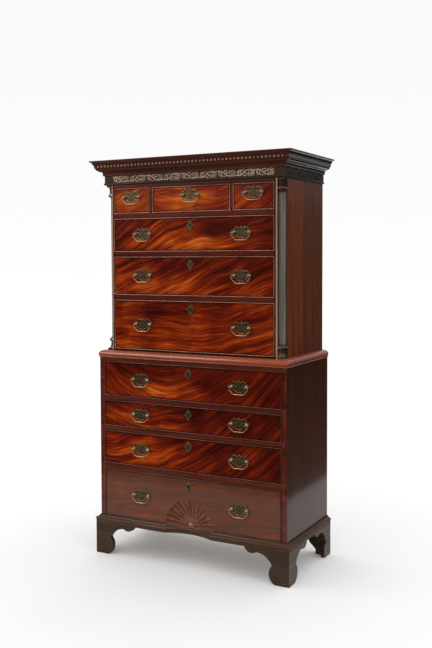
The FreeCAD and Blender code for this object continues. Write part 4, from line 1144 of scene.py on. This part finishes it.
plate_half = [
    (0, -27, 0), (9, -22.5, 2.0), (17, -22, 1.5), (22, -15, 1.5), (31, -14, 2.0), (36, -8, 0.5),
    (45, -7, 1.5), (50, 3, 1.5), (48, 10, 1.5), (42, 8, -1.5), (37, 14, -1.0), (30, 24, 2.0),
    (20, 24, 2.0), (14, 18, -1.5), (8, 21, -1.0), (0, 27, 2.5),
]
openings = [
    [(25, -3, 0), (34, -2, 1.2), (41, 2, 1), (36, 7, 1), (28, 5, 1)],
    [(17, 9, 0), (25, 10, 0.6), (28, 17, 1), (22, 19, 1), (16, 14, 1)],
    [(5, 6, 0), (11, 9, 0.6), (9, 16, 1), (4, 14, 1)],
    [(7, -18, 0), (15, -16, 1), (19, -10, 1), (11, -10, 1)],
]
sawn_out = [[(side * x, y) for x, y in bowed(opening, 3)] for side in (-1, 1) for opening in openings]
plate = sawn_plate("back_plate", [whole(plate_half)] + sawn_out)
print("back plate has", len(plate.polygons), "faces")

# %% Scrolls on the plate
plate_scrolls = both_hands([
    [(20, -15, 0, 0.7), (32, -15, 0, 1), (46, -8, 0, 1.2), (50, 3, 0, 1.4), (46, 9, 0, 1.3),
     (41, 4, 0, 0.9)],
    [(6, 19, 0, 0.6), (14, 19, 0, 0.9), (22, 25, 0, 1.2), (31, 22, 0, 1.1), (36, 13, 0, 0.9),
     (45, 10, 0, 0.7)],
    [(2, -26, 0, 0.9), (10, -24, 0, 1.1), (19, -21, 0, 1), (22, -12, 0, 0.7), (14, -7, 0, 0.6)],
    [(0, 26, 0, 1.2), (6, 22, 0, 1.0), (9, 16, 0, 0.8), (3, 4, 0, 0.6)],
    [(36, 1, 0, 0.5), (28, 8, 0, 0.9), (19, 6, 0, 1.0), (12, -2, 0, 0.8), (18, -7, 0, 0.6)],
])
scrolls = tapered_wires("plate_scrolls", plate_scrolls, 1.15 * MM, 3)
print("scrolls have", len(scrolls.polygons), "faces")

# %% [markdown]
# The posts are turned. The bail is a bent wire, thick in the middle where the hand takes it, with its
# ends turned in through the posts.

# %% Posts and bail
POST_REACH = 37 * MM
post = turned([
    (0, 1.2), (6.6, 1.2), (6.8, 2.2), (5.6, 3.2), (3.4, 3.8), (2.7, 5.2), (3.2, 6.6), (4.4, 8.2),
    (4.8, 10), (4.3, 12), (2.8, 13.6), (0, 14.2),
])
bail_half = [
    (31, 0, 0, 0.9), (40, 0, 0, 0.9), (47, 0, 0, 0.95), (47.5, -5, 0, 1), (46, -12, 0, 1.05),
    (41, -18, 0, 0.95), (33, -24, 0, 0.9), (26, -32, 0, 1), (17, -34, 0, 1.15), (8, -33, 0, 1.35),
    (0, -33.5, 0, 1.45),
]
bail_route = [(-x, y, z, width) for x, y, z, width in bail_half] + bail_half[-2::-1]
bail_wire = tapered_wires("bail_wire", [bail_route], 2.0 * MM, 3, 2)
print("a post has", len(post.polygons), "faces, a bail", len(bail_wire.polygons))

# %% [markdown]
# The keyhole plate is a small cartouche: three bright lobes above, shoulders, and a drop below the
# keyhole.

# %% Keyhole plate
cartouche = [
    (0, -24, 0), (5, -19, 1), (9, -15, 0.6), (11, -8, 1), (15, -5, 0), (18.5, 3, 1.5), (15, 9, 1.2),
    (10, 10, -1), (12, 17, 1.4), (6, 18, 1.6), (0, 24, 2.4),
]
keyhole = bowed([(-1.3, -7, 0), (1.3, -7, 0), (1.5, 1, 0), (2.6, 4, 1), (-2.6, 4, 3.2), (-1.5, 1, 1)], 3)
key_plate = sawn_plate("key_plate", [whole(cartouche), keyhole])
key_scrolls = both_hands([
    [(0, -22, 0, 1.1), (6, -17, 0, 1.0), (8, -9, 0, 0.8), (13, -5, 0, 0.9), (17.5, 3, 0, 1.3),
     (14, 8, 0, 1.2)],
    [(9, 9, 0, 0.7), (12, 15, 0, 1.4), (7, 17, 0, 1.2), (5, 10, 0, 0.6)],
    [(0, 23, 0, 1.6), (4, 18, 0, 1.0), (2, 11, 0, 0.5)],
])
key_scrolls = tapered_wires("key_scrolls", key_scrolls, 1.1 * MM, 3)
print("keyhole plate has", len(key_plate.polygons), "faces")

# %% [markdown]
# The frame's own plates and posts lie on the front of each drawer and its locks and shanks lie inside it.
# A cut just under the surface keeps only what is inside, and the new brasses take the place of the rest.


# %% Set the brasses on every drawer
KEY_BELOW, UNDER_SURFACE = 38 * MM, 0.4 * MM
PIVOT_BELOW, PLATE_RAISED = 2 * MM, 1 * MM


def brasses(name):
    node = name + "_brasses"
    front_low, front_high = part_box(name + "_front")
    face_y = front_low.y + BEAD_PROUD
    inside = merged_copy(node)
    ends = cut(inside, (0, face_y + UNDER_SURFACE, 0), (0, -1, 0), clear_outer=True)
    bmesh.ops.holes_fill(inside, edges=ends)
    soften(inside, 0.3 * MM)
    hidden = finish_piece(inside, name + "_locks_and_shanks", name, [brass, rubbed_brass])
    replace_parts(hidden, node)
    plates, castings = bmesh.new(), bmesh.new()
    for bail in [label for label in frame["nodes"] if label.startswith(name + "_bail")]:
        low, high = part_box(bail)
        x, y, z = (low.x + high.x) / 2, (low.y + high.y) / 2, high.z - PIVOT_BELOW
        wire = join(bmesh.new(), bail_wire, upright_at(x, y, z))
        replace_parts(finish_piece(wire, bail + "_wire", bail, [rubbed_brass], 60), bail)
        join(plates, plate, upright_at(x, face_y - PLATE_THICK / 2, z + PLATE_RAISED))
        join(castings, scrolls, upright_at(x, face_y - PLATE_THICK, z + PLATE_RAISED))
        for reach in (-POST_REACH, POST_REACH):
            join(castings, post, upright_at(x + reach, face_y, z))
    if not name.startswith("short"):
        z = front_high.z - KEY_BELOW
        join(plates, key_plate, upright_at(0, face_y - PLATE_THICK / 2, z))
        join(castings, key_scrolls, upright_at(0, face_y - PLATE_THICK, z))
    finish_piece(plates, name + "_plates", name, [brass], 30)
    finish_piece(castings, name + "_posts_and_scrolls", name, [rubbed_brass], 60)


for name in DRAWERS:
    brasses(name)
print("brasses set on", len(DRAWERS), "drawers")

# %% [markdown]
# ## Stage, light and camera
# The chest stands on a pale studio floor. One dome of light does most of the work: bright overhead and
# dim near the floor, so polished fronts keep their depth while the tops of mouldings shine. A large soft
# lamp from the upper left gives the forms their direction.

# %% Strength of the lights
FLOOR_GLOW = 0.12
BACKDROP = (0.985, 0.94)                       # strength at the horizon, and higher up
DOME_RISE, DOME_RIGHT_TO_LEFT = (0.35, 1.5), (0.8, 1.0)
MIRRORED_ROOM = [(0.0, 0.01), (0.05, 0.03), (0.14, 0.45), (0.5, 0.6), (0.9, 1.0)]   # (rise, brightness)
KEY_POWER, TOP_POWER, MIRROR_POWER = 90, 60, 1.6
NEAR_FLOOR = (-40, 1.02, -1.45, 60)            # left, right, front and back edge
FAR_FLOOR = 60                                 # half a side
print("key", KEY_POWER, "W, top", TOP_POWER, "W")

# %% [markdown]
# The floor is two sheets that look the same. The near one is mirrored in the polish of the lowest drawer
# and the side, as the pale paper of a studio is. The far one is neither mirrored nor gives light back, as
# in a dark room.

# %% Floor
floor_paint, tree, shader = new_finish("pale_floor", 0.0, specular=0.0)
greys = [(place, (grey, grey, grey, 1)) for place, grey in ((0.3, 0.85), (0.7, 0.87))]
values = {
    "Base Color": ramp(tree, noise(tree, own_place(tree), 1.5, 4.0), greys),
    "Roughness": 0.9,
    "Emission Color": (1, 1, 1, 1),
    "Emission Strength": FLOOR_GLOW,
}
set_inputs(tree, shader, values)


def pale_sheet(name, left, right, front, back, level):
    bm = bmesh.new()
    size = Matrix.Diagonal(((right - left) / 2, (back - front) / 2, 1, 1))
    place = Matrix.Translation(((left + right) / 2, (front + back) / 2, level)) @ size
    bmesh.ops.create_grid(bm, x_segments=8, y_segments=8, size=1, matrix=place)
    sheet = new_object(name, as_mesh(bm, name))
    sheet.data.materials.append(floor_paint)
    return sheet


near_floor = pale_sheet("near_floor", *NEAR_FLOOR, 0)
far_floor = pale_sheet("far_floor", -FAR_FLOOR, FAR_FLOOR, -FAR_FLOOR, FAR_FLOOR, -0.3 * MM)
far_floor.visible_glossy = False
far_floor.visible_diffuse = False
print("floors:", near_floor.name, far_floor.name)

# %% [markdown]
# A studio isn't evenly white. The paper sweep behind is what the camera sees, the walls give the soft
# fill that matt surfaces gather, and a polished front mirrors the dark room behind the camera with one
# big light overhead. The light path tells the three kinds of ray apart.

# %% Dome of light
world = bpy.data.worlds.new("studio_dome")
bpy.context.scene.world = world
world.use_nodes = True
tree = world.node_tree


def either(factor, first, second):
    return add(tree, "Mix", {"Factor": factor, 2: first, 3: second}, data_type="FLOAT").outputs[0]


x, _, z = axes(tree, add(tree, "TexCoord").outputs["Generated"])
up = spread(tree, z, -0.05, 0.9, *DOME_RISE)
fill = times(tree, up, spread(tree, x, 0.9, -0.7, *DOME_RIGHT_TO_LEFT))
room = ramp(tree, z, [(rise, (bright, bright, bright, 1)) for rise, bright in MIRRORED_ROOM])
rays = add(tree, "LightPath").outputs
strength = either(rays["Is Glossy Ray"], fill, times(tree, room, MIRROR_POWER))
strength = either(rays["Is Camera Ray"], strength, spread(tree, z, 0.0, 0.3, *BACKDROP))
set_inputs(tree, tree.nodes["Background"], {"Color": (1, 1, 1, 1), "Strength": strength})
print("the dome has", len(tree.nodes), "nodes")

# %% [markdown]
# The lamps light the chest alone. Light linking leaves the floor to the dome, so it stays one even white.

# %% Lamps
floor_only = bpy.data.collections.new("left_to_the_dome")
for count, sheet in enumerate((near_floor, far_floor)):
    floor_only.objects.link(sheet)
    floor_only.collection_objects[count].light_linking.link_state = "EXCLUDE"


def soft_lamp(name, place, aim, size, power):
    lamp = bpy.data.lights.new(name, "AREA")
    lamp.shape = "DISK"
    lamp.size = size
    lamp.energy = power
    holder = new_object(name, lamp)
    holder.location = place
    holder.rotation_euler = (Vector(aim) - Vector(place)).to_track_quat("-Z", "Y").to_euler()
    holder.light_linking.receiver_collection = floor_only


soft_lamp("key_lamp", (-2.6, -3.2, 3.4), (0, 0, 1.0), 1.8, KEY_POWER)
soft_lamp("top_lamp", (0.2, -0.6, 4.5), (0, -0.3, 0), 3.0, TOP_POWER)
print("lamps:", len(bpy.data.lights))

# %% [markdown]
# The camera stands a little to the right, 1.4 m above the floor, and looks slightly down.

# %% Camera
EYE = Vector((1.9788, -3.6547, 1.4257))
YAW, PITCH, ROLL = 0.4911, -0.0477, -0.0034
LENS, SHIFT_UP = 48.63, -0.0392
forward = Vector((-math.sin(YAW) * math.cos(PITCH), math.cos(YAW) * math.cos(PITCH), math.sin(PITCH)))
right = Vector((math.cos(YAW), math.sin(YAW), 0))
upward = right.cross(forward)
turned_right = right * math.cos(ROLL) + upward * math.sin(ROLL)
turned_up = upward * math.cos(ROLL) - right * math.sin(ROLL)
lens = bpy.data.cameras.new("studio_camera")
lens.lens = LENS
lens.sensor_width = 36
lens.shift_y = SHIFT_UP
camera = new_object("studio_camera", lens)
facing = Matrix((turned_right, turned_up, -forward)).transposed().to_4x4()
camera.matrix_world = Matrix.Translation(EYE) @ facing
bpy.context.scene.camera = camera
bpy.context.scene.view_settings.view_transform = "Standard"
print(f"camera {EYE.z:.2f} m up, lens {LENS:.1f} mm")
